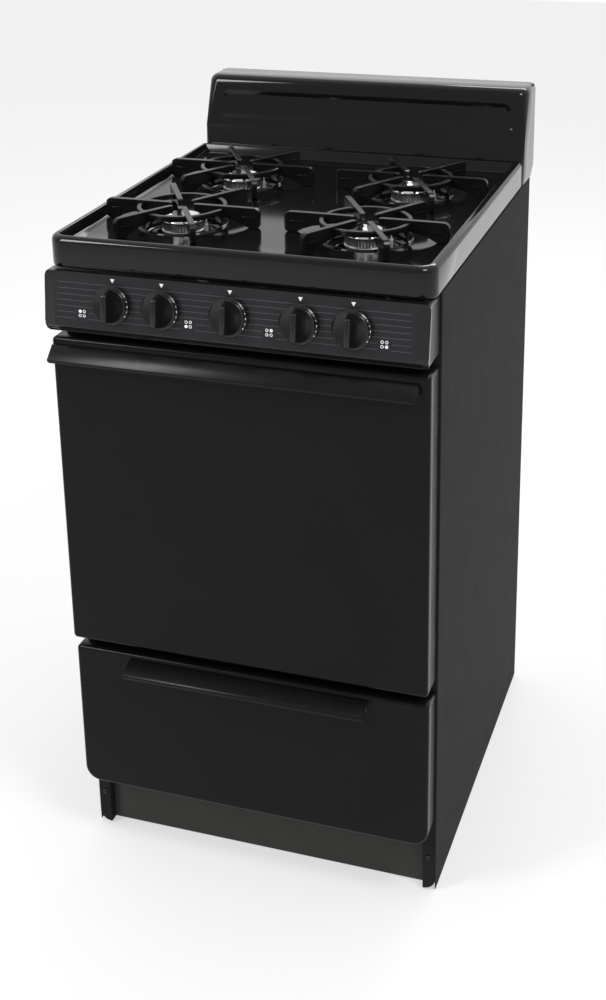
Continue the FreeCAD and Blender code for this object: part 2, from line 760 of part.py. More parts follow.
def burner_cap(name):
    """Flanged cap with a dished middle and a boss that drops into the head."""
    x, y = BURNERS[name]
    low = HEAD_TOP + SEAT
    profile = [(0, low), (CAP_R, low), (CAP_R + 1, low + 1.4), (CAP_R + 1, low + 2.6),
               (CAP_R - 3, low + 5.8), (CAP_R - 7, low + 6.8), (11, low + 4.2), (0, low + 3.6)]
    cap = revolved(profile, [0] * len(profile), (x, y))
    boss = Part.makeCylinder(BOWL_R - 0.5, 6.0, Vector(x, y, low - 5))
    return join([cap, boss])


def burner_caps():
    return Part.makeCompound([burner_cap(name) for name in BURNERS])


def spark_electrodes():
    electrodes = []
    for x, y in BURNERS.values():
        out = x + ELECTRODE_OUT
        clip = box(x + CUP_R + FIT, out + 3.4, y - 4, y + 4, HEAD_LOW - 6, HEAD_LOW - 4.6)
        ceramic = rod(2.4, Vector(out, y, HEAD_LOW - 12), Vector(out, y, HEAD_TOP - 3))
        tip = rod(0.8, Vector(out, y, HEAD_TOP - 4), Vector(out, y, HEAD_TOP + 3))
        electrodes.append(join([clip, ceramic, tip]))
    return Part.makeCompound(electrodes)


# ---- Chassis: control panel, backguard, rails, fasteners ----

def panel_outline(inset):
    """Side view of the control panel, with its face leaning back."""
    lean = math.tan(math.radians(PANEL_TILT))
    left = -HALF + 2 + inset
    back = FRONT - 0.3 + (OVER if inset else 0)
    top_y = PANEL_AT_KNOB + (PANEL_HIGH - KNOB_Z) * lean
    chin_z = PANEL_LOW + 10
    chin_y = PANEL_AT_KNOB - (KNOB_Z - chin_z) * lean
    points = [
        Vector(left, back, PANEL_HIGH - inset),
        Vector(left, top_y + inset, PANEL_HIGH - inset),
        Vector(left, chin_y + inset, chin_z),
        Vector(left, chin_y + inset + 8, PANEL_LOW + inset),
        Vector(left, back, PANEL_LOW + inset),
    ]
    radii = [0, 5 - inset, 9, 8, 0]
    return points, radii


def control_panel():
    sheet = 1.4
    points, radii = panel_outline(0)
    outer = plate(points, radii, X * (WIDTH - 4))
    points, radii = panel_outline(sheet)
    inner = plate(points, radii, X * (WIDTH - 4 - 2 * sheet))
    shell = outer.cut(inner)
    holes = []
    for x in KNOBS.values():
        holes.append(knob_frame(Part.makeCylinder(STEM_R + 1.2, 12, Vector(0, 6, 0), FORWARD), x))
    return shell.cut(holes)


def guard_outline(inset):
    lean = GUARD_FACE + GUARD_LEAN
    x = -HALF + inset
    back = GUARD_REAR + (OVER if inset else 0)
    low = GUARD_LOW - (OVER if inset else 0)
    points = [
        Vector(x, GUARD_FACE + inset, low),
        Vector(x, GUARD_FACE + inset, CREASE_Z),
        Vector(x, lean + inset, GUARD_TOP - inset),
        Vector(x, back, GUARD_TOP - inset),
        Vector(x, back, GUARD_LOW + 15),
        Vector(x, REAR + 4, low),
    ]
    return points, [0, 3, 7 - inset, 0, 0, 0]


def backguard_shell():
    sheet = 1.2
    points, radii = guard_outline(0)
    outer = plate(points, radii, X * WIDTH)
    points, radii = guard_outline(sheet)
    inner = plate(points, radii, X * (WIDTH - 2 * sheet))
    shell = outer.cut(inner)
    slots = []
    for index in range(VENTS):
        x = (index - (VENTS - 1) / 2) * VENT_PITCH
        slots.append(box(x - 1.6, x + 1.6, GUARD_FACE - OVER, GUARD_FACE + OVER, 915, 934))
    lip = box(-HALF + 0.6, HALF - 0.6, GUARD_REAR - 14, GUARD_REAR - 3.2, GUARD_TOP - 22, GUARD_TOP - 20.8)
    lip_wall = box(-HALF + 0.6, HALF - 0.6, GUARD_REAR - 14, GUARD_REAR - 12.8, GUARD_TOP - 22, GUARD_TOP - 0.6)
    return join([shell.cut(slots), lip, lip_wall])


def backguard_cover():
    y = GUARD_REAR - 2.8
    half = HALF - 1.2 - SEAT
    cover = box(-half, half, y, y + 1.2, GUARD_LOW + 18, GUARD_TOP - 1.2 - SEAT)
    return drill(cover, guard_screws())


def drawer_rails():
    low = RUNNER_Z - 1.5 - FIT
    wall = 1.5
    in_x = BOX_HALF + 3
    out_x = 234.0
    path = [
        Vector(in_x, FRONT + 6, low - wall / 2),
        Vector(out_x - wall / 2, FRONT + 6, low - wall / 2),
        Vector(out_x - wall / 2, FRONT + 6, RUNNER_Z + 6),
        Vector(in_x, FRONT + 6, RUNNER_Z + 6),
    ]
    channel = bent_sheet(path, wall, Y * 440, 0.5)
    brackets = []
    for y in (FRONT + 22, FRONT + 420):
        brackets.append(box(out_x - 0.5, HALF - SHEET - SEAT, y, y + 14, low, RUNNER_Z + 5))
    rail = join([channel] + brackets)
    return Part.makeCompound(both_sides(rail))


def screws():
    return Part.makeCompound([screw(place, out) for place, out
                              in flange_screws() + rear_screws() + guard_screws()])


def cooktop_hinge_pins():
    x = HALF - 13.0
    lug = rod(4.0, Vector(x, HINGE_Y, HINGE_Z), Vector(x + 2, HINGE_Y, HINGE_Z))
    post = box(x, x + 2, HINGE_Y - 4, HINGE_Y + 4, BODY_TOP + SEAT + 1, HINGE_Z)
    base = box(x, HALF - 3, HINGE_Y - 10, HINGE_Y + 4, BODY_TOP + SEAT, BODY_TOP + SEAT + 2)
    pin = rod(HINGE_PIN_R, Vector(x + 1, HINGE_Y, HINGE_Z), Vector(x + 8.5, HINGE_Y, HINGE_Z))
    bracket = join([lug, post, base, pin])
    return Part.makeCompound(both_sides(bracket))


# ---- Cooktop and grates ----

def cooktop():
    outer = box(-HALF, HALF, TOP_FACE, TOP_REAR, TOP_LOW, TOP_RIM)
    outer = outer.makeFillet(TOP_CORNER, edges_along(outer, Z, lambda place: place.y < 0))
    outer = outer.makeFillet(TOP_EDGE, edges_in_plane(outer, 2, TOP_RIM))
    pocket = box(-HALF + RIM_WIDE, HALF - RIM_WIDE, TOP_FACE + RIM_WIDE, TOP_REAR - RIM_WIDE,
                 TOP_LEVEL, TOP_RIM + OVER)
    pocket = pocket.makeFillet(POCKET_CORNER, edges_along(pocket, Z, lambda place: True))
    under = box(-HALF + TOP_SHEET, HALF - TOP_SHEET, TOP_FACE + TOP_SHEET, TOP_REAR - TOP_SHEET,
                TOP_LOW - OVER, TOP_RIM - TOP_SHEET)
    under = under.makeFillet(TOP_CORNER - TOP_SHEET, edges_along(under, Z, lambda place: place.y < 0))
    under = under.makeFillet(TOP_EDGE - TOP_SHEET, edges_in_plane(under, 2, TOP_RIM - TOP_SHEET))
    keep = box(-HALF + RIM_WIDE - TOP_SHEET, HALF - RIM_WIDE + TOP_SHEET,
               TOP_FACE + RIM_WIDE - TOP_SHEET, TOP_REAR - RIM_WIDE + TOP_SHEET,
               TOP_LEVEL - TOP_SHEET, TOP_RIM + OVER)
    keep = keep.makeFillet(POCKET_CORNER + TOP_SHEET, edges_along(keep, Z, lambda place: True))
    shell = outer.cut(pocket).cut(under.cut(keep))
    notch = box(-HALF - OVER, HALF + OVER, TOP_REAR - 12, TOP_REAR + OVER, TOP_LOW - OVER, HINGE_Z - 6)
    lug_room = box(HALF - 16, HALF - 3, HINGE_Y - 5, TOP_REAR + OVER, TOP_LOW, TOP_RIM - TOP_SHEET)
    shell = shell.cut([notch] + both_sides(lug_room))
    holes = [Part.makeCylinder(WELL_R, 20, Vector(x, y, TOP_LEVEL - 10)) for x, y in BURNERS.values()]
    shell = shell.cut(holes)
    wells = [burner_well(centre) for centre in BURNERS.values()]
    ears = both_sides(hinge_ear())
    return join([shell] + wells + ears)


def burner_well(centre):
    """A dished well with a rolled rim and a hole for the burner's head."""
    low = TOP_LEVEL - WELL_DEEP
    sheet = 1.4
    profile = [(WELL_R + 1.5, TOP_LEVEL - TOP_SHEET), (WELL_R + 1.5, TOP_LEVEL + 2.2),
               (WELL_R - 1.5, TOP_LEVEL + 2.2), (WELL_FLOOR_R, low + sheet),
               (WELL_HOLE_R, low + sheet), (WELL_HOLE_R, low),
               (WELL_FLOOR_R + 1, low), (WELL_R - 0.5, TOP_LEVEL - TOP_SHEET)]
    return revolved(profile, [0, 1.2, 1.2, 4, 0, 0, 5, 0], centre)


def hinge_ear():
    """A lug under the rim that turns on the rear hinge pin."""
    x = HALF - 7.5
    ear = box(x, x + 1.5, HINGE_Y - 9, HINGE_Y + 1, HINGE_Z - 5, TOP_RIM - 1.0)
    bore = rod(HINGE_PIN_R + PIN_GAP, Vector(x - OVER, HINGE_Y, HINGE_Z), Vector(x + OVER, HINGE_Y, HINGE_Z))
    nose = rod(4.0, Vector(x, HINGE_Y, HINGE_Z), Vector(x + 1.5, HINGE_Y, HINGE_Z))
    return ear.fuse(nose).cut(bore)


def grate_blade():
    """One upright blade, drawn along +X from the grate's centre."""
    half = BLADE_THICK / 2
    foot = TOP_LEVEL + FIT
    points = [
        Vector(TIP_IN, -half, GRATE_TOP - 1),
        Vector(48, -half, GRATE_TOP),
        Vector(GRATE_R, -half, GRATE_TOP),
        Vector(GRATE_R, -half, foot),
        Vector(GRATE_R - 17, -half, foot),
        Vector(WELL_R + 10, -half, foot + 10),
        Vector(44, -half, GRATE_TOP - 13),
        Vector(TIP_IN, -half, GRATE_TOP - 10),
    ]
    blade = plate(points, [4, 0, 9, 5, 4, 8, 8, 4], Y * BLADE_THICK)
    dimple = Part.makeCylinder(2.2, 16, Vector(GRATE_R - 24, -half - 1.2, foot + 14), X)
    return blade.cut([dimple, dimple.mirror(Vector(0, 0, 0), Y)])


def grate(name):
    blade = grate_blade()
    pieces = []
    for index in range(BLADES):
        turned = blade.copy()
        turned.rotate(Vector(0, 0, 0), Z, index * 360 / BLADES)
        pieces.append(turned)
    ring = Part.makeTorus(WELL_R - 4, 3.4, Vector(0, 0, GRATE_TOP - 6), Z)
    star = join(pieces + [ring])
    star.translate(Vector(BURNERS[name][0], BURNERS[name][1], 0))
    return star


# ---- Oven door ----

def hinge_slot(y0, y1, z0, z1):
    return box(ARM_IN - 1.5, ARM_IN + ARM_WIDE + 1.5, y0, y1, z0, z1)


def door_outer_panel():
    pan = front_pan(HALF - 2, DOOR_FACE, DOOR_BACK, DOOR_LOW, DOOR_HIGH, 6.0, 6.0, 5.0, SHEET)
    slot = hinge_slot(DOOR_AXIS_Y - 5, DOOR_BACK + OVER, DOOR_LOW - OVER, DOOR_LOW + 4)
    return pan.cut(both_sides(slot))


def door_inner_panel():
    half = HALF - 2 - SHEET - SEAT
    y1 = DOOR_BACK
    low = DOOR_LOW + SHEET + SEAT
    high = DOOR_HIGH - SHEET - SEAT
    flat = box(-half, half, y1 - SHEET, y1, low, high)
    flat = flat.makeFillet(5.0, edges_along(flat, Y, lambda place: True))
    plug_half = OVEN_HALF - 7
    plug = box(-plug_half, plug_half, y1 - SHEET, y1 + 16, OVEN_LOW + 8, OVEN_HIGH - 8)
    plug = plug.makeFillet(14.0, edges_along(plug, Y, lambda place: True))
    plug = plug.makeFillet(5.0, edges_in_plane(plug, 1, y1 + 16))
    core_half = plug_half - SHEET
    core = box(-core_half, core_half, y1 - OVER, y1 + 15, OVEN_LOW + 9, OVEN_HIGH - 9)
    core = core.makeFillet(13.0, edges_along(core, Y, lambda place: True))
    core = core.makeFillet(4.0, edges_in_plane(core, 1, y1 + 15))
    slots = both_sides(hinge_slot(y1 - 5, y1 + 5, DOOR_LOW - 1, DOOR_AXIS_Z + 9))
    return join([flat, plug]).cut([core] + slots)


def door_insulation():
    return box(-OVEN_HALF, OVEN_HALF, DOOR_FACE + 3, DOOR_BACK - SHEET - 1, DOOR_LOW + 14, DOOR_HIGH - 12)


def door_hinge_leaves():
    x = ARM_IN - 7.0
    y1 = DOOR_BACK - SHEET - SEAT
    leaf = box(x, x + 4, DOOR_FACE + SHEET + 5, y1, DOOR_LOW + SHEET + 0.5, DOOR_LOW + 130)
    bore = rod(DOOR_PIN_R + PIN_GAP, Vector(x - OVER, DOOR_AXIS_Y, DOOR_AXIS_Z),
               Vector(x + 2 * OVER, DOOR_AXIS_Y, DOOR_AXIS_Z))
    return Part.makeCompound(both_sides(leaf.cut(bore)))


def visor(x0, x1, top, face, reach, drop, lip):
    """A slanted lip handle: a strap on the face, a slope out from it and a short drop."""
    thick = 2.0
    y = face - SEAT - thick / 2
    path = [
        Vector(x0, y, top - 16),
        Vector(x0, y, top - thick / 2),
        Vector(x0, y - reach, top - drop),
        Vector(x0, y - reach, top - drop - lip),
    ]
    return bent_sheet(path, thick, X * (x1 - x0), 1.5)


def door_handle():
    return visor(-250.0, 238.0, 778.0, DOOR_FACE, 17.5, 17.0, 7.0)


# ---- Drawer ----

def drawer_front():
    return front_pan(HALF - 2, DRAWER_FACE, DRAWER_BACK, DRAWER_LOW, DRAWER_HIGH, 22.0, 6.0, 5.0, SHEET)


def drawer_handle():
    return visor(-170.0, 170.0, DRAWER_HIGH - 4, DRAWER_FACE, 25.0, 12.0, 6.0)


def drawer_box():
    y0 = DRAWER_BACK + SEAT
    y1 = BOX_REAR
    tub = box(-BOX_HALF, BOX_HALF, y0, y1, BOX_FLOOR, BOX_TOP)
    tub = tub.cut(box(-BOX_HALF + SHEET, BOX_HALF - SHEET, y0 + SHEET, y1 - SHEET,
                      BOX_FLOOR + SHEET, BOX_TOP + OVER))
    front = box(-230, 230, y0, y0 + SHEET, 124.0, 300.0)
    runner = box(BOX_HALF - 0.5, RUNNER_OUT, FRONT + 8, y1, RUNNER_Z, RUNNER_Z + 1.5)
    rear_gap = box(-160, 160, y1 - OVER, y1 + OVER, BOX_TOP - 40, BOX_TOP + OVER)
    return join([tub.cut(rear_gap), front] + both_sides(runner))


def broiler_pan():
    z0 = BOX_FLOOR + SHEET + SEAT
    z1 = z0 + 32
    outer = box(-186, 186, FRONT + 14, 150, z0, z1)
    outer = outer.makeFillet(16.0, edges_along(outer, Z, lambda place: True))
    inner = box(-185, 185, FRONT + 15, 149, z0 + 1, z1 + OVER)
    inner = inner.makeFillet(15.0, edges_along(inner, Z, lambda place: True))
    rim = box(-194, 194, FRONT + 6, 158, z1 - 1, z1)
    rim = rim.makeFillet(20.0, edges_along(rim, Z, lambda place: True))
    return join([outer, rim]).cut(inner)


def broiler_grid():
    z0 = BOX_FLOOR + SHEET + 2 * SEAT + 32
    sheet = box(-190, 190, FRONT + 10, 154, z0, z0 + 1.2)
    sheet = sheet.makeFillet(18.0, edges_along(sheet, Z, lambda place: True))
    slots = []
    for row in range(-7, 8):
        for column in (-120, -40, 40, 120):
            x = column
            y = row * 22.0 - 43
            slots.append(box(x - 30, x + 30, y - 2.5, y + 2.5, z0 - OVER, z0 + OVER))
    return sheet.cut(slots)


# ---- Knobs ----

def valve_stem(x):
    """The stem and its spring collar, which push in together."""
    stem = Part.makeCylinder(STEM_R, KNOB_LIFT + 26, Vector(0, 12, 0), FORWARD)
    collar = Part.makeCylinder(STEM_R + 0.9, 1.2, Vector(0, -0.2, 0), FORWARD)
    return knob_frame(join([stem, collar]), x)


def knob(x):
    """A skirted knob with an upright grip, its bore turning on the stem."""
    back = KNOB_LIFT
    skirt_face = back + SKIRT_THICK
    body_face = back + KNOB_THICK
    skirt = Part.makeCylinder(SKIRT_R, SKIRT_THICK, Vector(0, -back, 0), FORWARD)
    skirt = skirt.makeFillet(SKIRT_THICK / 2, edges_in_plane(skirt, 1, -skirt_face))
    body = Part.makeCylinder(KNOB_R, KNOB_THICK - 1, Vector(0, -back - 1, 0), FORWARD)
    body = body.makeFillet(2.5, edges_in_plane(body, 1, -body_face))
    grip = box(-GRIP_HALF, GRIP_HALF, -KNOB_OUT, -back - 1, -GRIP_REACH, GRIP_REACH)
    grip = grip.makeFillet(2.2, edges_in_plane(grip, 1, -KNOB_OUT))
    solid = join([skirt, body, grip])
    bore_deep = KNOB_OUT - back - 7.5
    bore = Part.makeCylinder(STEM_R + PIN_GAP, bore_deep, Vector(0, -back + 1, 0), FORWARD)
    return knob_frame(solid.cut(bore), x)


# ---- Every piece, by name ----

def pieces():
    right = side_panel_right()
    parts = {
        "side_panel_left": mirrored(right),
        "side_panel_right": right,
        "back_panel": back_panel(),
        "base_frame": base_frame(),
        "leveling_feet": leveling_feet(),
        "kick_plate": kick_plate(),
        "front_frame": front_frame(),
        "oven_liner": oven_liner(),
        "oven_bottom": oven_bottom(),
        "oven_burner": oven_burner(),
        "oven_gas_tube": oven_gas_tube(),
        "insulation": insulation(),
        "flue_duct": flue_duct(),
        "door_gasket": door_gasket(),
        "burner_box": burner_box(),
        "manifold_pipe": manifold_pipe(),
        "burner_valves": burner_valves(),
        "oven_thermostat": oven_thermostat(),
        "gas_regulator": gas_regulator(),
        "spark_module": spark_module(),
        "burner_tubes": burner_tubes(),
        "burner_caps": burner_caps(),
        "spark_electrodes": spark_electrodes(),
        "control_panel": control_panel(),
        "backguard_shell": backguard_shell(),
        "backguard_cover": backguard_cover(),
        "drawer_rails": drawer_rails(),
        "screws": screws(),
        "cooktop_hinge_pins": cooktop_hinge_pins(),
        "cooktop": cooktop(),
        "door_outer_panel": door_outer_panel(),
        "door_inner_panel": door_inner_panel(),
        "door_insulation": door_insulation(),
        "door_hinge_leaves": door_hinge_leaves(),
        "door_handle": door_handle(),
        "drawer_front": drawer_front(),
        "drawer_handle": drawer_handle(),
        "drawer_box": drawer_box(),
        "broiler_pan": broiler_pan(),
        "broiler_grid": broiler_grid(),
    }
    for name, level in RACK_LEVELS.items():
        parts[name] = rack(level)
    for name in BURNERS:
        parts["burner_head_" + name] = burner_head(name)
        parts["grate_" + name] = grate(name)
    for name, x in KNOBS.items():
        parts["stem_" + name] = valve_stem(x)
        parts["knob_" + name] = knob(x)
    return parts


os.makedirs("parts", exist_ok=True)
for piece_name, piece_shape in pieces().items():
    piece_shape.exportStep(os.path.join("parts", piece_name + ".step"))
    solids = len(piece_shape.Solids)
    print(piece_name, "solids", solids, "valid", piece_shape.isValid(), "volume", round(piece_shape.Volume))
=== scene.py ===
import json
import math

import bmesh
import bpy
from mathutils import Matrix, Vector


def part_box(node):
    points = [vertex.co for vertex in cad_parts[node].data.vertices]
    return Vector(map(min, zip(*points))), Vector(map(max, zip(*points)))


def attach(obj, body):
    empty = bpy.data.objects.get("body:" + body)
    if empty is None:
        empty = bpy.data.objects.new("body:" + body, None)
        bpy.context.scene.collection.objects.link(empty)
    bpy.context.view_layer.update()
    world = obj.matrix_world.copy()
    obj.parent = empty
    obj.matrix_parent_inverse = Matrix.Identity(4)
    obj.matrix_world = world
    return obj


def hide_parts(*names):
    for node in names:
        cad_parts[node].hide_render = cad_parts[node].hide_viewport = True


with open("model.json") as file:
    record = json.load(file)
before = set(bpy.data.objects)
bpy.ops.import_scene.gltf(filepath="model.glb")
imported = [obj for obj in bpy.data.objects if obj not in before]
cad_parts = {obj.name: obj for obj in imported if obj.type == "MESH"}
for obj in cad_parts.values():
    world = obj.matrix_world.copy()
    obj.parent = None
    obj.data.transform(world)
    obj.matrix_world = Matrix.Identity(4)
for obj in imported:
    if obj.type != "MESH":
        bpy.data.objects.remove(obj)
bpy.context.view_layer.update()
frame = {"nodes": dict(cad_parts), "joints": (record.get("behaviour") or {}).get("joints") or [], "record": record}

tiny = 0.0001                      # how near counts as on a face
weld = 1e-6                        # how near counts as the same point
joints = {joint["name"]: joint for joint in frame["joints"]}


# Small tools for the mesh work below

def block(bm, low, high):
    made = bmesh.ops.create_cube(bm, size=1)["verts"]
    bmesh.ops.scale(bm, vec=Vector(high) - Vector(low), verts=made)
    bmesh.ops.translate(bm, vec=(Vector(low) + Vector(high)) / 2, verts=made)
    return made


def edgesWhere(bm, test):
    return [edge for edge in bm.edges if test(edge.verts[0].co, edge.verts[1].co)]


def facesWhere(bm, test):
    bm.normal_update()
    return [face for face in bm.faces if test(face.calc_center_median(), face.normal)]


def roundOff(bm, edges, offset, segments):
    bmesh.ops.bevel(bm, geom=edges, offset=offset, offset_type="OFFSET", segments=segments,
                    profile=0.5, affect="EDGES", material=-1, clamp_overlap=True)


def cutAt(bm, faces, point, normal):
    geom = set(faces)
    for face in faces:
        geom.update(face.edges)
        geom.update(face.verts)
    bmesh.ops.bisect_plane(bm, geom=list(geom), dist=weld, plane_co=point, plane_no=normal)


def turn(bm, profile, steps, centre=(0, 0, 0)):
    # Spins a chain of (radius, height) points once round the upright line through centre
    chain = [bm.verts.new(Vector(centre) + Vector((radius, 0, height))) for radius, height in profile]
    lines = [bm.edges.new(pair) for pair in zip(chain, chain[1:])]
    bmesh.ops.spin(bm, geom=chain + lines, cent=centre, axis=(0, 0, 1),
                   angle=math.tau, steps=steps, use_merge=True)
    bmesh.ops.remove_doubles(bm, verts=bm.verts, dist=weld)


def makePiece(bm, name, body, finish, replaced=(), sharp=40):
    bmesh.ops.recalc_face_normals(bm, faces=bm.faces)
    mesh = bpy.data.meshes.new(name)
    bm.to_mesh(mesh)
    bm.free()
    mesh.shade_smooth()
    mesh.set_sharp_from_angle(angle=math.radians(sharp))
    for part in finish if isinstance(finish, list) else [finish]:
        mesh.materials.append(part)
    piece = bpy.data.objects.new(name, mesh)
    bpy.context.scene.collection.objects.link(piece)
    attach(piece, body)
    if replaced:
        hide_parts(*replaced)
    return piece


def thicken(piece, thickness, offset=-1):
    sheet = piece.modifiers.new("sheet", "SOLIDIFY")
    sheet.thickness = thickness
    sheet.offset = offset


def soften(piece, width, segments, angle=40):
    edge = piece.modifiers.new("edge", "BEVEL")
    edge.width = width
    edge.segments = segments
    edge.limit_method = "ANGLE"
    edge.angle_limit = math.radians(angle)
    edge.harden_normals = False


# Finishes: colour and its second tone, roughness from and to, and the size and depth of the grain

finishLooks = {
    "body_enamel": {"colour": (0.0055, 0.0050, 0.0054), "second": (0.0072, 0.0066, 0.0070), "ior": 1.20,
                    "rough": (0.16, 0.26), "patch": 9, "grain": 320, "depth": 0.010},
    "side_enamel": {"colour": (0.014, 0.014, 0.014), "second": (0.020, 0.020, 0.0195), "ior": 1.09,
                    "rough": (0.50, 0.60), "patch": 14, "grain": 420, "depth": 0.050},
    "cooktop_enamel": {"colour": (0.0035, 0.0034, 0.0038), "second": (0.005, 0.005, 0.0055), "ior": 1.36,
                       "rough": (0.06, 0.11), "patch": 7, "grain": 160, "depth": 0.006},
    "control_enamel": {"colour": (0.0060, 0.0058, 0.0070), "second": (0.009, 0.0085, 0.010), "ior": 1.38,
                       "rough": (0.14, 0.22), "patch": 12, "grain": 380, "depth": 0.010},
    "kick_paint": {"colour": (0.024, 0.0235, 0.021), "second": (0.034, 0.033, 0.029), "ior": 1.3,
                   "rough": (0.48, 0.62), "patch": 40, "grain": 700, "depth": 0.080},
    "handle_plastic": {"colour": (0.0045, 0.0042, 0.0048), "second": (0.006, 0.0055, 0.0062), "ior": 1.28,
                       "rough": (0.20, 0.32), "patch": 18, "grain": 900, "depth": 0.030},
    "knob_plastic": {"colour": (0.0040, 0.0040, 0.0050), "second": (0.006, 0.006, 0.0072), "ior": 1.46,
                     "rough": (0.15, 0.24), "patch": 60, "grain": 1500, "depth": 0.020},
    "grate_enamel": {"colour": (0.0040, 0.0037, 0.0038), "second": (0.0065, 0.006, 0.006), "ior": 1.30,
                     "rough": (0.14, 0.26), "patch": 45, "grain": 520, "depth": 0.060},
    "oven_enamel": {"colour": (0.010, 0.010, 0.012), "second": (0.016, 0.016, 0.018), "ior": 1.45,
                    "rough": (0.18, 0.30), "patch": 12, "grain": 260, "depth": 0.030,
                    "fleck": 0.5, "fleckCells": 190, "fleckEdge": 0.16, "fleckCore": 0.10},
    "galvanised": {"colour": (0.42, 0.43, 0.44), "second": (0.56, 0.57, 0.58), "ior": 1.5, "metal": 1.0,
                   "rough": (0.34, 0.52), "patch": 55, "grain": 240, "depth": 0.030},
    "bright_wire": {"colour": (0.62, 0.62, 0.62), "second": (0.72, 0.72, 0.72), "ior": 1.5, "metal": 1.0,
                    "rough": (0.14, 0.24), "patch": 70, "grain": 500, "depth": 0.020},
    "burner_aluminium": {"colour": (0.50, 0.50, 0.50), "second": (0.62, 0.62, 0.61), "ior": 1.5, "metal": 1.0,
                         "rough": (0.26, 0.42), "patch": 140, "grain": 900, "depth": 0.080},
    "cap_chrome": {"colour": (0.74, 0.75, 0.74), "second": (0.84, 0.85, 0.84), "ior": 1.5, "metal": 1.0,
                   "rough": (0.12, 0.24), "patch": 90, "grain": 700, "depth": 0.030},
    "brass_fitting": {"colour": (0.60, 0.42, 0.17), "second": (0.68, 0.50, 0.22), "ior": 1.5, "metal": 1.0,
                      "rough": (0.26, 0.40), "patch": 80, "grain": 600, "depth": 0.040},
    "plated_steel": {"colour": (0.46, 0.46, 0.44), "second": (0.56, 0.56, 0.54), "ior": 1.5, "metal": 1.0,
                     "rough": (0.28, 0.42), "patch": 60, "grain": 520, "depth": 0.030},
    "screw_black": {"colour": (0.030, 0.030, 0.030), "second": (0.050, 0.050, 0.050),
                    "ior": 1.5, "metal": 1.0,
                    "rough": (0.30, 0.42), "patch": 90, "grain": 700, "depth": 0.030},
    "ceramic_white": {"colour": (0.62, 0.61, 0.58), "second": (0.72, 0.71, 0.68), "ior": 1.5,
                      "rough": (0.20, 0.34), "patch": 120, "grain": 800, "depth": 0.030},
    "foot_plastic": {"colour": (0.012, 0.012, 0.012), "second": (0.020, 0.020, 0.020), "ior": 1.45,
                     "rough": (0.45, 0.60), "patch": 90, "grain": 900, "depth": 0.060},
    "fibre_blanket": {"colour": (0.62, 0.56, 0.36), "second": (0.74, 0.69, 0.50), "ior": 1.4,
                      "rough": (0.85, 0.98), "patch": 60, "grain": 340, "depth": 0.800},
    "gasket_braid": {"colour": (0.16, 0.155, 0.14), "second": (0.26, 0.25, 0.23), "ior": 1.4,
                     "rough": (0.75, 0.92), "patch": 500, "grain": 1300, "depth": 0.600},
    "label_print": {"colour": (0.0125, 0.0123, 0.0150), "second": (0.0155, 0.0150, 0.0180), "ior": 1.33,
                    "rough": (0.30, 0.40), "patch": 30, "grain": 1200, "depth": 0.020},
    "stripe_ink": {"colour": (0.060, 0.060, 0.064), "second": (0.078, 0.078, 0.082), "ior": 1.4,
                   "rough": (0.40, 0.52), "patch": 200, "grain": 1600, "depth": 0.020},
    "mark_ink": {"colour": (0.78, 0.79, 0.80), "second": (0.86, 0.87, 0.88), "ior": 1.4,
                 "rough": (0.40, 0.52), "patch": 300, "grain": 1600, "depth": 0.020},
}


def makeFinish(name, look):
    finish = bpy.data.materials.new(name)
    finish.use_nodes = True
    nodes = finish.node_tree.nodes
    links = finish.node_tree.links
    shader = nodes["Principled BSDF"]
    shader.inputs["IOR"].default_value = look["ior"]
    shader.inputs["Metallic"].default_value = look.get("metal", 0.0)
    place = nodes.new("ShaderNodeTexCoord")

    patches = nodes.new("ShaderNodeTexNoise")          # slow change of tone over the piece
    patches.inputs["Scale"].default_value = look["patch"]
    patches.inputs["Detail"].default_value = 4
    tone = nodes.new("ShaderNodeMix")
    tone.data_type = "RGBA"
    tone.inputs["A"].default_value = (*look["colour"], 1)
    tone.inputs["B"].default_value = (*look["second"], 1)
    links.new(place.outputs["Object"], patches.inputs["Vector"])
    links.new(patches.outputs["Fac"], tone.inputs["Factor"])
    colour = tone.outputs["Result"]

    if "fleck" in look:                                # pale flecks fired into the oven's enamel
        cells = nodes.new("ShaderNodeTexVoronoi")
        cells.inputs["Scale"].default_value = look["fleckCells"]
        spots = nodes.new("ShaderNodeMapRange")
        spots.inputs["From Min"].default_value = look["fleckEdge"]
        spots.inputs["From Max"].default_value = look["fleckCore"]
        flecked = nodes.new("ShaderNodeMix")
        flecked.data_type = "RGBA"
        flecked.inputs["B"].default_value = (look["fleck"], look["fleck"], look["fleck"], 1)
        links.new(place.outputs["Object"], cells.inputs["Vector"])
        links.new(cells.outputs["Distance"], spots.inputs["Value"])
        links.new(spots.outputs["Result"], flecked.inputs["Factor"])
        links.new(colour, flecked.inputs["A"])
        colour = flecked.outputs["Result"]
    links.new(colour, shader.inputs["Base Color"])

    smears = nodes.new("ShaderNodeTexNoise")           # where hands and cloths have been
    smears.inputs["Scale"].default_value = look["patch"] * 1.7
    smears.inputs["Detail"].default_value = 6
    shine = nodes.new("ShaderNodeMapRange")
    shine.inputs["To Min"].default_value = look["rough"][0]
    shine.inputs["To Max"].default_value = look["rough"][1]
    links.new(place.outputs["Object"], smears.inputs["Vector"])
    links.new(smears.outputs["Fac"], shine.inputs["Value"])
    links.new(shine.outputs["Result"], shader.inputs["Roughness"])

    grain = nodes.new("ShaderNodeTexNoise")
    grain.inputs["Scale"].default_value = look["grain"]
    grain.inputs["Detail"].default_value = 2
    bump = nodes.new("ShaderNodeBump")
    bump.inputs["Strength"].default_value = look["depth"]
    bump.inputs["Distance"].default_value = 0.001
    links.new(place.outputs["Object"], grain.inputs["Vector"])
    links.new(grain.outputs["Fac"], bump.inputs["Height"])
    links.new(bump.outputs["Normal"], shader.inputs["Normal"])
    return finish


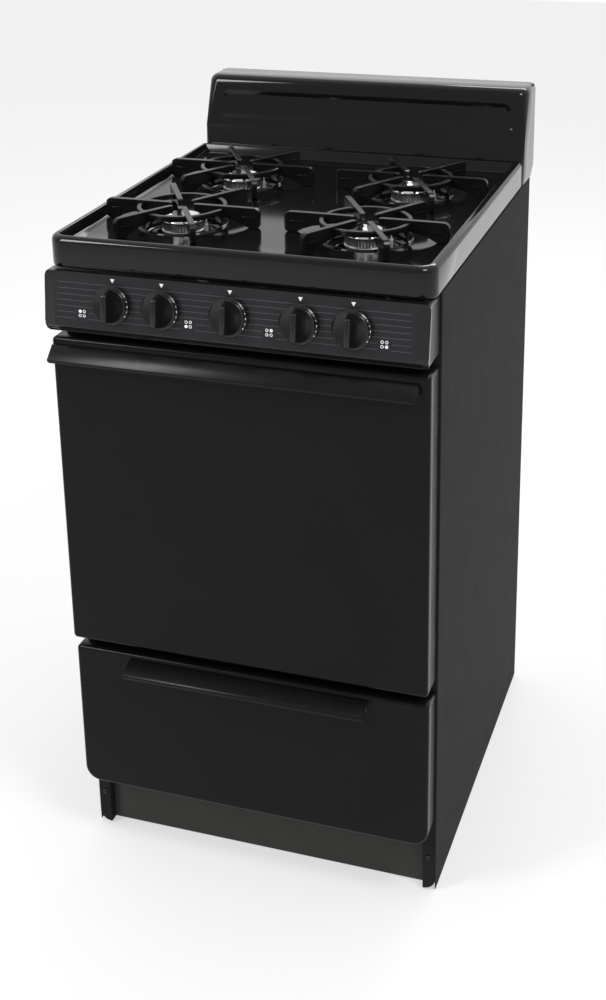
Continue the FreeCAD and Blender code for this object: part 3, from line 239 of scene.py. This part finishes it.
finishes = {name: makeFinish(name, look) for name, look in finishLooks.items()}
for part in frame["record"]["subparts"]:
    node = frame["nodes"][part["node"]]
    for holder in node.material_slots:
        holder.material = finishes[part["material_slot"]]
for holder in frame["nodes"]["screws"].material_slots:
    holder.material = finishes["screw_black"]
print("finishes made:", len(finishes))


# Cooktop: a folded and rounded tray with four dished wells

cooktop = {
    "cornerRadius": 0.024,
    "edgeRadius": 0.008,
    "crest": 0.0022,
    "slope": 0.0043,
    "floor": 0.9025,
    "lowLip": 0.003,
    "cell": 0.068,            # half the square of floor that each well is set in
    "sheet": 0.0012,
    "slopeRound": 0.0022,
    "crestRound": 0.0010,
    "wellSides": 64,
    "wellEdge": 0.0625,
    # radius, and height over the floor, from the rolled rim down to the burner's hole
    "well": [(0.0618, 0.0014), (0.0608, 0.0021), (0.0597, 0.0020), (0.0589, 0.0011), (0.0584, -0.0010),
             (0.0566, -0.0065), (0.0540, -0.0115), (0.0505, -0.0148), (0.0465, -0.0158), (0.0400, -0.0160)],
}
burners = ["rear_left", "front_left", "rear_right", "front_right"]


def burnerCentre(name):
    low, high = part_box("burner_head_" + name)
    return Vector(((low.x + high.x) / 2, (low.y + high.y) / 2, 0))


def addWell(bm, centre, look):
    level = look["floor"]
    flat = lambda face: abs(face.calc_center_median().z - level) < tiny and abs(face.normal.z) > 0.99
    cell = min((face for face in bm.faces if flat(face)),
               key=lambda face: (face.calc_center_median().xy - centre.xy).length)
    square = list(cell.edges)
    bmesh.ops.delete(bm, geom=[cell], context="FACES_ONLY")
    bmesh.ops.subdivide_edges(bm, edges=square, cuts=look["wellSides"] // 4 - 1)
    inCell = lambda v: max(abs(v.x - centre.x), abs(v.y - centre.y)) < look["cell"] + tiny
    square = [edge for edge in bm.edges if edge.is_boundary and abs(edge.verts[0].co.z - level) < tiny
              and inCell(edge.verts[0].co) and inCell(edge.verts[1].co)]
    middle = Vector((centre.x, centre.y, level))
    spot = Matrix.Translation(middle)
    circle = bmesh.ops.create_circle(bm, cap_ends=False, segments=look["wellSides"],
                                     radius=look["wellEdge"], matrix=spot)
    ring = list({edge for vert in circle["verts"] for edge in vert.link_edges})
    bmesh.ops.bridge_loops(bm, edges=square + ring)
    for radius, height in look["well"]:
        made = bmesh.ops.extrude_edge_only(bm, edges=ring)["geom"]
        ring = [part for part in made if isinstance(part, bmesh.types.BMEdge)]
        for vert in (part for part in made if isinstance(part, bmesh.types.BMVert)):
            outward = (vert.co - middle).xy.normalized() * radius
            vert.co = middle + Vector((outward.x, outward.y, height))


def buildCooktop(look):
    low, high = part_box("cooktop")
    bm = bmesh.new()
    block(bm, low, high)
    upright = edgesWhere(bm, lambda a, b: abs(a.z - b.z) > 0.01 and a.y < 0 and b.y < 0)
    roundOff(bm, upright, look["cornerRadius"], 9)
    roundOff(bm, edgesWhere(bm, lambda a, b: min(a.z, b.z) > high.z - tiny), look["edgeRadius"], 6)
    roundOff(bm, edgesWhere(bm, lambda a, b: max(a.z, b.z) < low.z + tiny), look["lowLip"], 3)
    waste = facesWhere(bm, lambda c, n: n.z < -0.99 or (n.y > 0.99 and c.y > high.y - tiny))
    bmesh.ops.delete(bm, geom=waste, context="FACES")

    top = facesWhere(bm, lambda c, n: n.z > 0.999 and c.z > high.z - tiny)
    bmesh.ops.inset_region(bm, faces=top, thickness=look["crest"], use_even_offset=True)
    bmesh.ops.inset_region(bm, faces=top, thickness=look["slope"], use_even_offset=True)
    bmesh.ops.translate(bm, verts=top[0].verts, vec=(0, 0, look["floor"] - high.z))
    roundOff(bm, list(top[0].edges), look["slopeRound"], 3)
    crestEdge = edgesWhere(bm, lambda a, b: min(a.z, b.z) > high.z - tiny
                           and max(abs(a.x), abs(b.x)) < high.x - look["edgeRadius"] - 0.001
                           and min(a.y, b.y) > low.y + look["edgeRadius"] + 0.001
                           and max(a.y, b.y) < high.y - look["edgeRadius"] - 0.001)
    roundOff(bm, crestEdge, look["crestRound"], 2)

    centres = [burnerCentre(name) for name in burners]
    onFloor = lambda c, n: abs(c.z - look["floor"]) < tiny and abs(n.z) > 0.99
    for centre in centres:
        for side in (-look["cell"], look["cell"]):
            cutAt(bm, facesWhere(bm, onFloor), (centre.x + side, 0, 0), (1, 0, 0))
            cutAt(bm, facesWhere(bm, onFloor), (0, centre.y + side, 0), (0, 1, 0))
    for centre in centres:
        bm.normal_update()
        addWell(bm, centre, look)
    tray = makePiece(bm, "cooktop_tray", "cooktop", finishes["cooktop_enamel"],
                     ["cooktop"], sharp=50)
    thicken(tray, look["sheet"])


buildCooktop(cooktop)
print("cooktop built")


# Burners: cast head with a toothed port ring under a dished cap

burner = {
    "head": [(0, 0.8672), (0.0185, 0.8672), (0.0185, 0.8840), (0.0200, 0.8860), (0.0275, 0.8914),
             (0.0285, 0.8924), (0.0285, 0.8946), (0.0277, 0.8955), (0.0258, 0.8962), (0.0250, 0.8972),
             (0.0250, 0.9056), (0, 0.9056)],
    "cap": [(0, 0.9060), (0.0280, 0.9060), (0.0291, 0.9066), (0.0294, 0.9080), (0.0290, 0.9092),
            (0.0276, 0.9106), (0.0262, 0.9116), (0.0256, 0.9115), (0.0248, 0.9122), (0.0232, 0.9129),
            (0.0216, 0.9129), (0.0200, 0.9120), (0.0160, 0.9106), (0.0110, 0.9099), (0, 0.9096)],
    "teeth": 40,
    "toothWide": 0.0022,
    # distance from the middle, and height: first at a tooth's near foot, then at its far top
    "tooth": ((0.0240, 0.8968), (0.0274, 0.9052)),
    "sides": 64,
}


def buildHead(name, look):
    centre = burnerCentre(name)
    bm = bmesh.new()
    turn(bm, look["head"], look["sides"])
    (near, foot), (far, top) = look["tooth"]
    for index in range(look["teeth"]):
        tooth = block(bm, (near, -look["toothWide"] / 2, foot), (far, look["toothWide"] / 2, top))
        bmesh.ops.rotate(bm, cent=(0, 0, 0), verts=tooth,
                         matrix=Matrix.Rotation(index * math.tau / look["teeth"], 3, "Z"))
    bmesh.ops.translate(bm, verts=bm.verts, vec=centre)
    makePiece(bm, "burner_ring_" + name, "chassis", finishes["burner_aluminium"],
              ["burner_head_" + name])


def buildCaps(look):
    bm = bmesh.new()
    for name in burners:
        turn(bm, look["cap"], look["sides"], burnerCentre(name))
    makePiece(bm, "burner_dishes", "chassis", finishes["cap_chrome"], ["burner_caps"], sharp=55)


for burnerName in burners:
    buildHead(burnerName, burner)
buildCaps(burner)
print("burners built")


# Grates: six upright blades joined by a ring

grate = {
    "blades": 6,
    # distance from the middle, underside and top over the foot, half thickness
    "sections": [(0.0160, 0.0185, 0.0256, 0.0016), (0.0172, 0.0176, 0.0266, 0.0030),
                 (0.0205, 0.0170, 0.0271, 0.0036), (0.0440, 0.0152, 0.0272, 0.0038),
                 (0.0580, 0.0126, 0.0272, 0.0038), (0.0720, 0.0098, 0.0272, 0.0038),
                 (0.0850, 0.0052, 0.0272, 0.0038), (0.0925, 0.0010, 0.0272, 0.0038),
                 (0.0950, 0.0000, 0.0272, 0.0038), (0.1040, 0.0000, 0.0270, 0.0038),
                 (0.1075, 0.0010, 0.0252, 0.0038), (0.1093, 0.0034, 0.0226, 0.0034),
                 (0.1100, 0.0070, 0.0190, 0.0024)],
    "ringRadius": 0.0570,
    "ring": [(-0.0032, 0.0178), (-0.0026, 0.0172), (0.0026, 0.0172), (0.0032, 0.0178), (0.0032, 0.0238),
             (0.0022, 0.0246), (-0.0022, 0.0246), (-0.0032, 0.0238)],
    "ringSides": 72,
    # a thin rib on each side of a blade's foot: its two corners, how far out it sits and half its width
    "rib": ((0.0860, 0.0122), (0.1020, 0.0156)),
    "ribSide": 0.0042,
    "ribHalf": 0.0004,
    "edgeRound": 0.0011,
}


def addBlade(bm, look):
    start = bmesh.ops.create_grid(bm, x_segments=1, y_segments=1, size=0.5)["verts"]
    bmesh.ops.rotate(bm, cent=(0, 0, 0), verts=start, matrix=Matrix.Rotation(math.radians(90), 3, "Y"))
    made = list(start)
    face = start[0].link_faces[0]
    for index, (reach, low, high, half) in enumerate(look["sections"]):
        if index:
            grown = bmesh.ops.extrude_face_region(bm, geom=[face])["geom"]
            face = next(part for part in grown if isinstance(part, bmesh.types.BMFace))
            made += face.verts
        for vert in face.verts:
            vert.co = Vector((reach, half if vert.co.y > 0 else -half, vert.co.z))
        ordered = sorted(face.verts, key=lambda vert: vert.co.z)
        for vert in ordered[:2]:
            vert.co.z = low
        for vert in ordered[2:]:
            vert.co.z = high
    (ribIn, ribLow), (ribOut, ribHigh) = look["rib"]
    for side in (-look["ribSide"], look["ribSide"]):
        made += block(bm, (ribIn, side - look["ribHalf"], ribLow), (ribOut, side + look["ribHalf"], ribHigh))
    return made


def buildGrate(name, look):
    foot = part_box("grate_" + name)[0].z
    bm = bmesh.new()
    blade = addBlade(bm, look)
    faces = {face for vert in blade for face in vert.link_faces}
    edges = {edge for vert in blade for edge in vert.link_edges}
    for index in range(1, look["blades"]):
        copied = bmesh.ops.duplicate(bm, geom=list(set(blade)) + list(edges) + list(faces))["geom"]
        verts = [part for part in copied if isinstance(part, bmesh.types.BMVert)]
        bmesh.ops.rotate(bm, cent=(0, 0, 0), verts=verts,
                         matrix=Matrix.Rotation(index * math.tau / look["blades"], 3, "Z"))
    ring = [(look["ringRadius"] + out, height) for out, height in look["ring"]]
    turn(bm, ring + ring[:1], look["ringSides"])
    bmesh.ops.translate(bm, verts=bm.verts, vec=burnerCentre(name) + Vector((0, 0, foot)))
    star = makePiece(bm, "grate_star_" + name, "grate_" + name, finishes["grate_enamel"],
                     ["grate_" + name], sharp=30)
    soften(star, look["edgeRound"], 3, 50)


for burnerName in burners:
    buildGrate(burnerName, grate)
print("grates built")


# Backguard: leaning face with a pressed panel and rounded corners. The vents of the CAD are not cut here

backguard = {
    "crease": 0.945,
    "lean": 0.031,
    "footHigh": 0.015,
    "footBack": 0.020,
    "sideRadius": 0.018,
    "topRadius": 0.010,
    "pressEdge": 0.011,
    "pressCorner": 0.012,
    "pressDeep": 0.0030,
    "pressSlope": 0.0060,
    "pressLip": 0.0008,
    "creaseRound": 0.0018,
    "sheet": 0.0012,
    "edgeRound": 0.0004,
}


def buildBackguard(look):
    low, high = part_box("backguard_shell")
    bm = bmesh.new()
    block(bm, low, high)
    cutAt(bm, list(bm.faces), (0, 0, look["crease"]), (0, 0, 1))
    cutAt(bm, list(bm.faces), (0, 0, low.z + look["footHigh"]), (0, 0, 1))
    for vert in bm.verts:
        if vert.co.z > high.z - tiny and vert.co.y < low.y + tiny:
            vert.co.y += look["lean"]
        if vert.co.z < low.z + tiny and vert.co.y > high.y - tiny:
            vert.co.y -= look["footBack"]
    front = edgesWhere(bm, lambda a, b: abs(a.z - b.z) > 0.01 and max(a.y, b.y) < low.y + look["lean"] + tiny)
    roundOff(bm, front, look["sideRadius"], 8)
    rim = edgesWhere(bm, lambda a, b: min(a.z, b.z) > high.z - tiny and min(a.y, b.y) < high.y - 0.001)
    roundOff(bm, rim, look["topRadius"], 6)
    crease = edgesWhere(bm, lambda a, b: abs(a.z - look["crease"]) < tiny and abs(b.z - look["crease"]) < tiny
                        and max(a.y, b.y) < low.y + 0.03)
    roundOff(bm, crease, look["creaseRound"], 3)

    leaning = facesWhere(bm, lambda c, n: n.y < -0.8 and 0.1 < n.z and c.z > look["crease"] + 0.01)
    leaning = [max(leaning, key=lambda face: face.calc_area())]
    bmesh.ops.inset_region(bm, faces=leaning, thickness=look["pressEdge"], use_even_offset=True)
    bmesh.ops.bevel(bm, geom=list(leaning[0].verts), offset=look["pressCorner"], offset_type="OFFSET",
                    segments=6, profile=0.5, affect="VERTICES", material=-1, clamp_overlap=True)
    pressed = facesWhere(bm, lambda c, n: n.y < -0.8 and 0.1 < n.z and abs(c.x) < 0.01
                         and look["crease"] + 0.015 < c.z < high.z - 0.020)
    pressed = [max(pressed, key=lambda face: face.calc_area())]
    bmesh.ops.inset_region(bm, faces=pressed, thickness=look["pressLip"], use_even_offset=True)
    bmesh.ops.inset_region(bm, faces=pressed, thickness=look["pressSlope"], depth=-look["pressDeep"],
                           use_even_offset=True)
    bmesh.ops.inset_region(bm, faces=pressed, thickness=look["pressLip"], use_even_offset=True)

    waste = facesWhere(bm, lambda c, n: n.z < -0.9 or (n.y > 0.99 and c.y > high.y - tiny))
    bmesh.ops.delete(bm, geom=waste, context="FACES")
    guard = makePiece(bm, "backguard", "chassis", finishes["cooktop_enamel"],
                      ["backguard_shell"], sharp=35)
    thicken(guard, look["sheet"])
    soften(guard, look["edgeRound"], 2, 60)


buildBackguard(backguard)
print("backguard built")


# Control panel: leaning housing, printed label, stripes and marks

panel = {
    "tilt": 8,
    "chinHigh": 0.010,
    "chinBack": 0.008,
    "cornerRadius": 0.008,
    "edgeRadius": 0.0035,
    "sheet": 0.0014,
    "labelHalf": 0.2385,
    "labelLow": -0.033,
    "labelHigh": 0.0335,
    "labelDeep": (-0.0002, 0.00012),
    "labelRound": 0.003,
    "stripeTop": 0.0240,
    "stripePitch": 0.00765,
    "stripes": 7,
    "stripeHalf": 0.0003,
    "stripeEnds": (-0.2350, 0.2300),
    "stripeDeep": (0.00002, 0.00020),
    "iconPitch": 0.0028,
    "iconZ": -0.0150,
    "iconGap": 0.009,          # the stripes stop this far to each side of an icon
    "iconClear": 0.008,        # and only the stripes under this height over it
    "iconSolid": 0.0022,
    "iconRing": (0.0021, 0.0013),
    "inkFront": 0.0003,
    "pointerUp": 0.0312,
    "pointerSize": 0.0034,
    # place of each icon along the panel, and which burner of the four it fills
    "icons": {-0.1996: (-1, 1), -0.0543: (-1, -1), 0.0520: (1, 1), 0.1977: (1, -1)},
}
knobNames = ["rear_left", "front_left", "oven", "rear_right", "front_right"]
knobPlaces = {name: Vector(joints["knob_turn_" + name]["pos_m"]) for name in knobNames}
knobMiddle = Vector((0, knobPlaces["oven"].y, knobPlaces["oven"].z))
# In the panel's own place, X runs along it, Y up its face and Z straight out of it
panelPlace = (Matrix.Translation(knobMiddle) @ Matrix.Rotation(math.radians(-panel["tilt"]), 4, "X")
              @ Matrix.Rotation(math.radians(90), 4, "X"))


def buildPanel(look):
    low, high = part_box("control_panel")
    slope = math.tan(math.radians(look["tilt"]))
    chin = low.z + look["chinHigh"]
    bm = bmesh.new()
    block(bm, low, high)
    cutAt(bm, list(bm.faces), (0, 0, chin), (0, 0, 1))
    for vert in bm.verts:
        if vert.co.y < low.y + tiny:
            vert.co.y = knobMiddle.y + (max(vert.co.z, chin) - knobMiddle.z) * slope
            if vert.co.z < chin - tiny:
                vert.co.y += look["chinBack"]
    roundOff(bm, edgesWhere(bm, lambda a, b: abs(a.y - b.y) > 0.02), look["cornerRadius"], 7)
    bm.normal_update()
    rim = [edge for edge in bm.edges if len(edge.link_faces) == 2
           and min(face.normal.y for face in edge.link_faces) < -0.6
           and max(face.normal.y for face in edge.link_faces) > -0.3]
    roundOff(bm, rim, look["edgeRadius"], 5)
    bmesh.ops.delete(bm, geom=facesWhere(bm, lambda c, n: n.y > 0.99), context="FACES")
    housing = makePiece(bm, "panel_housing", "chassis", finishes["control_enamel"],
                        ["control_panel"], sharp=25)
    thicken(housing, look["sheet"])

    bm = bmesh.new()
    half = look["labelHalf"]
    back, front = look["labelDeep"]
    block(bm, (-half, look["labelLow"], back), (half, look["labelHigh"], front))
    roundOff(bm, edgesWhere(bm, lambda a, b: abs(a.z - b.z) > tiny), look["labelRound"], 4)
    bmesh.ops.transform(bm, matrix=panelPlace, verts=bm.verts)
    makePiece(bm, "panel_label", "chassis", finishes["label_print"])

    bm = bmesh.new()
    left, right = look["stripeEnds"]
    back, front = look["stripeDeep"]
    for index in range(look["stripes"]):
        height = look["stripeTop"] - index * look["stripePitch"]
        stops = [left]
        if height < look["iconZ"] + look["iconClear"]:
            for place in look["icons"]:
                stops += [place - look["iconGap"], place + look["iconGap"]]
        stops.append(right)
        for start, end in zip(stops[::2], stops[1::2]):
            block(bm, (start, height - look["stripeHalf"], back), (end, height + look["stripeHalf"], front))
    bmesh.ops.transform(bm, matrix=panelPlace, verts=bm.verts)
    makePiece(bm, "panel_stripes", "chassis", finishes["stripe_ink"])

    bm = bmesh.new()
    for name in knobNames:
        spot = Matrix.Translation((knobPlaces[name].x, look["pointerUp"], look["inkFront"]))
        bmesh.ops.create_circle(bm, cap_ends=True, segments=3, radius=look["pointerSize"],
                                matrix=spot @ Matrix.Rotation(math.radians(180), 4, "Z"))
    for place, filled in look["icons"].items():
        for across in (-1, 1):
            for up in (-1, 1):
                spot = Matrix.Translation((place + across * look["iconPitch"],
                                           look["iconZ"] + up * look["iconPitch"], look["inkFront"]))
                addIcon(bm, spot, (across, up) == filled, look)
    bmesh.ops.transform(bm, matrix=panelPlace, verts=bm.verts)
    makePiece(bm, "panel_marks", "chassis", finishes["mark_ink"])


def addIcon(bm, spot, filled, look):
    turned = spot @ Matrix.Rotation(math.radians(22.5), 4, "Z")
    if filled:
        bmesh.ops.create_circle(bm, cap_ends=True, segments=8, radius=look["iconSolid"], matrix=turned)
        return
    verts = []
    for radius in look["iconRing"]:
        verts += bmesh.ops.create_circle(bm, cap_ends=False, segments=8, radius=radius,
                                         matrix=turned)["verts"]
    edges = {edge for vert in verts for edge in vert.link_edges}
    bmesh.ops.bridge_loops(bm, edges=list(edges))


buildPanel(panel)
print("control panel built")


# Knobs: skirt, body and upright grip

knob = {
    "profile": [(0.0034, 0.0040), (0.0243, 0.0040), (0.0250, 0.0046), (0.0250, 0.0060), (0.0246, 0.0066),
                (0.0236, 0.0072), (0.0230, 0.0078), (0.0229, 0.0106), (0.0225, 0.0114), (0.0218, 0.0118),
                (0.0208, 0.0117), (0.0196, 0.0112), (0.0120, 0.0106), (0, 0.0104)],
    "sides": 64,
    "gripHalf": 0.0050,
    "gripLong": 0.0214,
    "gripFrontHalf": 0.0036,
    "gripFrontLong": 0.0168,
    "gripFront": 0.0274,
    "gripBack": 0.0095,
    "gripMiddle": 0.02,        # what lies in front of this is the grip's narrower end
    "gripRound": 0.0022,
    # angle round the skirt from the right, and length of each mark
    "marks": [(34, 0.0010), (18, 0.0012), (2, 0.0022), (-14, 0.0012), (-30, 0.0018)],
    "markSpan": (0.0231, 0.0243),
    "markDeep": (0.0071, 0.0075),
}


def buildKnob(name, look):
    bm = bmesh.new()
    turn(bm, look["profile"], look["sides"])
    grip = block(bm, (-look["gripHalf"], -look["gripLong"], look["gripBack"]),
                 (look["gripHalf"], look["gripLong"], look["gripFront"]))
    for vert in grip:
        if vert.co.z > look["gripMiddle"]:
            vert.co.x = math.copysign(look["gripFrontHalf"], vert.co.x)
            vert.co.y = math.copysign(look["gripFrontLong"], vert.co.y)
    edges = {edge for vert in grip for edge in vert.link_edges}
    front = [edge for edge in edges if max(vert.co.z for vert in edge.verts) > look["gripMiddle"]]
    roundOff(bm, front, look["gripRound"], 5)
    (near, far), (under, over) = look["markSpan"], look["markDeep"]
    for angle, length in look["marks"]:
        mark = block(bm, (near, -length / 2, under), (far, length / 2, over))
        bmesh.ops.rotate(bm, cent=(0, 0, 0), verts=mark,
                         matrix=Matrix.Rotation(math.radians(angle), 3, "Z"))
        for face in {face for vert in mark for face in vert.link_faces}:
            face.material_index = 1
    shift = Matrix.Translation((knobPlaces[name].x, 0, 0))
    bmesh.ops.transform(bm, matrix=shift @ panelPlace, verts=bm.verts)
    makePiece(bm, "knob_cap_" + name, "knob_" + name, [finishes["knob_plastic"], finishes["mark_ink"]],
              ["knob_" + name], sharp=35)


for knobName in knobNames:
    buildKnob(knobName, knob)
print("knobs built")


# Oven door and drawer front: pressed pans with rounded edges, and their lip handles

fronts = {
    # the slots let the hinge arms in: near and far side from the middle, and where they start
    "door": {"node": "door_outer_panel", "body": "oven_door", "low": 0.006, "high": 0.006,
             "edge": 0.0050, "sheet": 0.0010, "slots": (0.2205, 0.2285, -0.28395)},
    "drawer": {"node": "drawer_front", "body": "broiler_drawer", "low": 0.022, "high": 0.006,
               "edge": 0.0050, "sheet": 0.0010},
}
lips = {
    "door": {"node": "door_handle", "body": "oven_door", "strap": 0.016, "drop": 0.017,
             "sheet": 0.002, "bend": 0.003, "corner": 0.004, "edgeRound": 0.0006},
    "drawer": {"node": "drawer_handle", "body": "broiler_drawer", "strap": 0.016, "drop": 0.012,
               "sheet": 0.002, "bend": 0.003, "corner": 0.004, "edgeRound": 0.0006},
}


def cutSlots(bm, floor, near, far, start):
    under = lambda c, n: n.z < -0.99 and c.z < floor + tiny
    for side in (-far, -near, near, far):
        cutAt(bm, facesWhere(bm, under), (side, 0, 0), (1, 0, 0))
    cutAt(bm, facesWhere(bm, under), (0, start, 0), (0, 1, 0))
    waste = facesWhere(bm, lambda c, n: under(c, n) and near < abs(c.x) < far and c.y > start)
    bmesh.ops.delete(bm, geom=waste, context="FACES")


def buildFront(name, look):
    low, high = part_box(look["node"])
    middle = (low.z + high.z) / 2
    bm = bmesh.new()
    block(bm, low, high)
    deep = lambda a, b: abs(a.y - b.y) > 0.01
    roundOff(bm, edgesWhere(bm, lambda a, b: deep(a, b) and a.z < middle), look["low"], 8)
    roundOff(bm, edgesWhere(bm, lambda a, b: deep(a, b) and min(a.z, b.z) > middle), look["high"], 6)
    roundOff(bm, edgesWhere(bm, lambda a, b: max(a.y, b.y) < low.y + tiny), look["edge"], 6)
    bmesh.ops.delete(bm, geom=facesWhere(bm, lambda c, n: n.y > 0.99), context="FACES")
    if "slots" in look:
        cutSlots(bm, low.z, *look["slots"])
    pan = makePiece(bm, name + "_pan", look["body"], finishes["body_enamel"], [look["node"]])
    thicken(pan, look["sheet"])


def buildLip(name, look):
    low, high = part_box(look["node"])
    thick = look["sheet"]
    back = high.y - thick / 2
    front = low.y + thick / 2
    top = high.z - thick / 2
    path = [(back, top - look["strap"]), (back, top), (front, top - look["drop"] + thick / 2),
            (front, low.z)]
    bm = bmesh.new()
    chain = [bm.verts.new((low.x, y, z)) for y, z in path]
    lines = [bm.edges.new(pair) for pair in zip(chain, chain[1:])]
    grown = bmesh.ops.extrude_edge_only(bm, edges=lines)["geom"]
    bmesh.ops.translate(bm, vec=(high.x - low.x, 0, 0),
                        verts=[part for part in grown if isinstance(part, bmesh.types.BMVert)])
    bends = edgesWhere(bm, lambda a, b: abs(a.x - b.x) > 0.1 and low.z + tiny < a.z
                       and a.z > top - look["strap"] + tiny)
    roundOff(bm, bends, look["bend"], 5)
    corners = [vert for vert in bm.verts if vert.co.z < low.z + tiny]
    bmesh.ops.bevel(bm, geom=corners, offset=look["corner"], offset_type="OFFSET", segments=5, profile=0.5,
                    affect="VERTICES", material=-1, clamp_overlap=True)
    lip = makePiece(bm, name + "_lip_handle", look["body"], finishes["handle_plastic"],
                    [look["node"]])
    thicken(lip, thick, 0)
    soften(lip, look["edgeRound"], 2, 60)


for frontName in fronts:
    buildFront(frontName, fronts[frontName])
    buildLip(frontName, lips[frontName])
print("door and drawer built")


# Floor, light and camera

stage = {
    "floorHalf": 8,
    "floorTone": 0.42,
    "floorRough": 0.9,
    "floorGlow": 0.50,
    "worldFront": 0.52,
    "worldBack": 1.0,
    "worldTurn": (-0.6, 0.3),  # the room goes from its front tone to its back tone between these
    # place, aim, width, height and power of each soft box
    "boxes": [((-1.9, -2.3, 2.5), (0, -0.2, 0.7), 0.7, 1.4, 52),
              ((1.6, -1.2, 3.0), (0.1, -0.1, 0.8), 0.9, 0.9, 38),
              ((0.3, 2.4, 2.6), (0, 0.1, 0.8), 1.6, 0.7, 24)],
}


def buildStage(look):
    bm = bmesh.new()
    bmesh.ops.create_grid(bm, x_segments=1, y_segments=1, size=look["floorHalf"])
    mesh = bpy.data.meshes.new("floor")
    bm.to_mesh(mesh)
    bm.free()
    paint = bpy.data.materials.new("floor_paint")
    paint.use_nodes = True
    shader = paint.node_tree.nodes["Principled BSDF"]
    shader.inputs["Base Color"].default_value = (*[look["floorTone"]] * 3, 1)
    shader.inputs["Roughness"].default_value = look["floorRough"]
    shader.inputs["Emission Color"].default_value = (1, 1, 1, 1)
    shader.inputs["Emission Strength"].default_value = look["floorGlow"]
    mesh.materials.append(paint)
    floor = bpy.data.objects.new("floor", mesh)
    bpy.context.scene.collection.objects.link(floor)

    for index, (place, aim, width, height, power) in enumerate(look["boxes"]):
        lamp = bpy.data.lights.new(f"softbox{index}", "AREA")
        lamp.shape = "RECTANGLE"
        lamp.size = width
        lamp.size_y = height
        lamp.energy = power
        holder = bpy.data.objects.new(f"softbox{index}", lamp)
        holder.location = place
        holder.rotation_euler = (Vector(aim) - Vector(place)).to_track_quat("-Z", "Y").to_euler()
        bpy.context.scene.collection.objects.link(holder)


def buildWorld(look):
    # The room is white behind the range and dimmer on the side that its front faces
    world = bpy.data.worlds.new("studio")
    bpy.context.scene.world = world
    world.use_nodes = True
    nodes = world.node_tree.nodes
    links = world.node_tree.links
    back = nodes["Background"]
    place = nodes.new("ShaderNodeTexCoord")
    split = nodes.new("ShaderNodeSeparateXYZ")
    ramp = nodes.new("ShaderNodeMapRange")
    ramp.interpolation_type = "SMOOTHSTEP"
    ramp.inputs["From Min"].default_value, ramp.inputs["From Max"].default_value = look["worldTurn"]
    ramp.inputs["To Min"].default_value = look["worldFront"]
    ramp.inputs["To Max"].default_value = look["worldBack"]
    rays = nodes.new("ShaderNodeLightPath")
    seen = nodes.new("ShaderNodeMix")
    seen.inputs["B"].default_value = 1.0
    links.new(place.outputs["Generated"], split.inputs["Vector"])
    links.new(split.outputs["Y"], ramp.inputs["Value"])
    links.new(rays.outputs["Is Camera Ray"], seen.inputs["Factor"])
    links.new(ramp.outputs["Result"], seen.inputs["A"])
    links.new(seen.outputs["Result"], back.inputs["Strength"])
    back.inputs["Color"].default_value = (1, 1, 1, 1)


camera = {
    "place": (0.662, -1.950, 1.479),
    "azimuth": 18.97,
    "elevation": 18.57,
    "roll": -1.03,
    "lens": 55.34,
    "shiftY": -0.22,
    "sensor": 36,
    "farClip": 50,
}


def buildCamera(look):
    azimuth, elevation, roll = (math.radians(look[key]) for key in ("azimuth", "elevation", "roll"))
    back = Vector((math.sin(azimuth) * math.cos(elevation), -math.cos(azimuth) * math.cos(elevation),
                   math.sin(elevation)))
    right = Vector((math.cos(azimuth), math.sin(azimuth), 0))
    up = back.cross(right)
    rolledRight = right * math.cos(roll) + up * math.sin(roll)
    rolledUp = up * math.cos(roll) - right * math.sin(roll)
    data = bpy.data.cameras.new("camera")
    data.lens = look["lens"]
    data.sensor_width = look["sensor"]
    data.shift_y = look["shiftY"]
    data.clip_end = look["farClip"]
    eye = bpy.data.objects.new("camera", data)
    turned = Matrix((rolledRight, rolledUp, back)).transposed().to_4x4()
    eye.matrix_world = Matrix.Translation(look["place"]) @ turned
    bpy.context.scene.collection.objects.link(eye)
    bpy.context.scene.camera = eye


buildStage(stage)
buildWorld(stage)
buildCamera(camera)
bpy.context.scene.view_settings.view_transform = "Standard"
print("stage, light and camera ready")
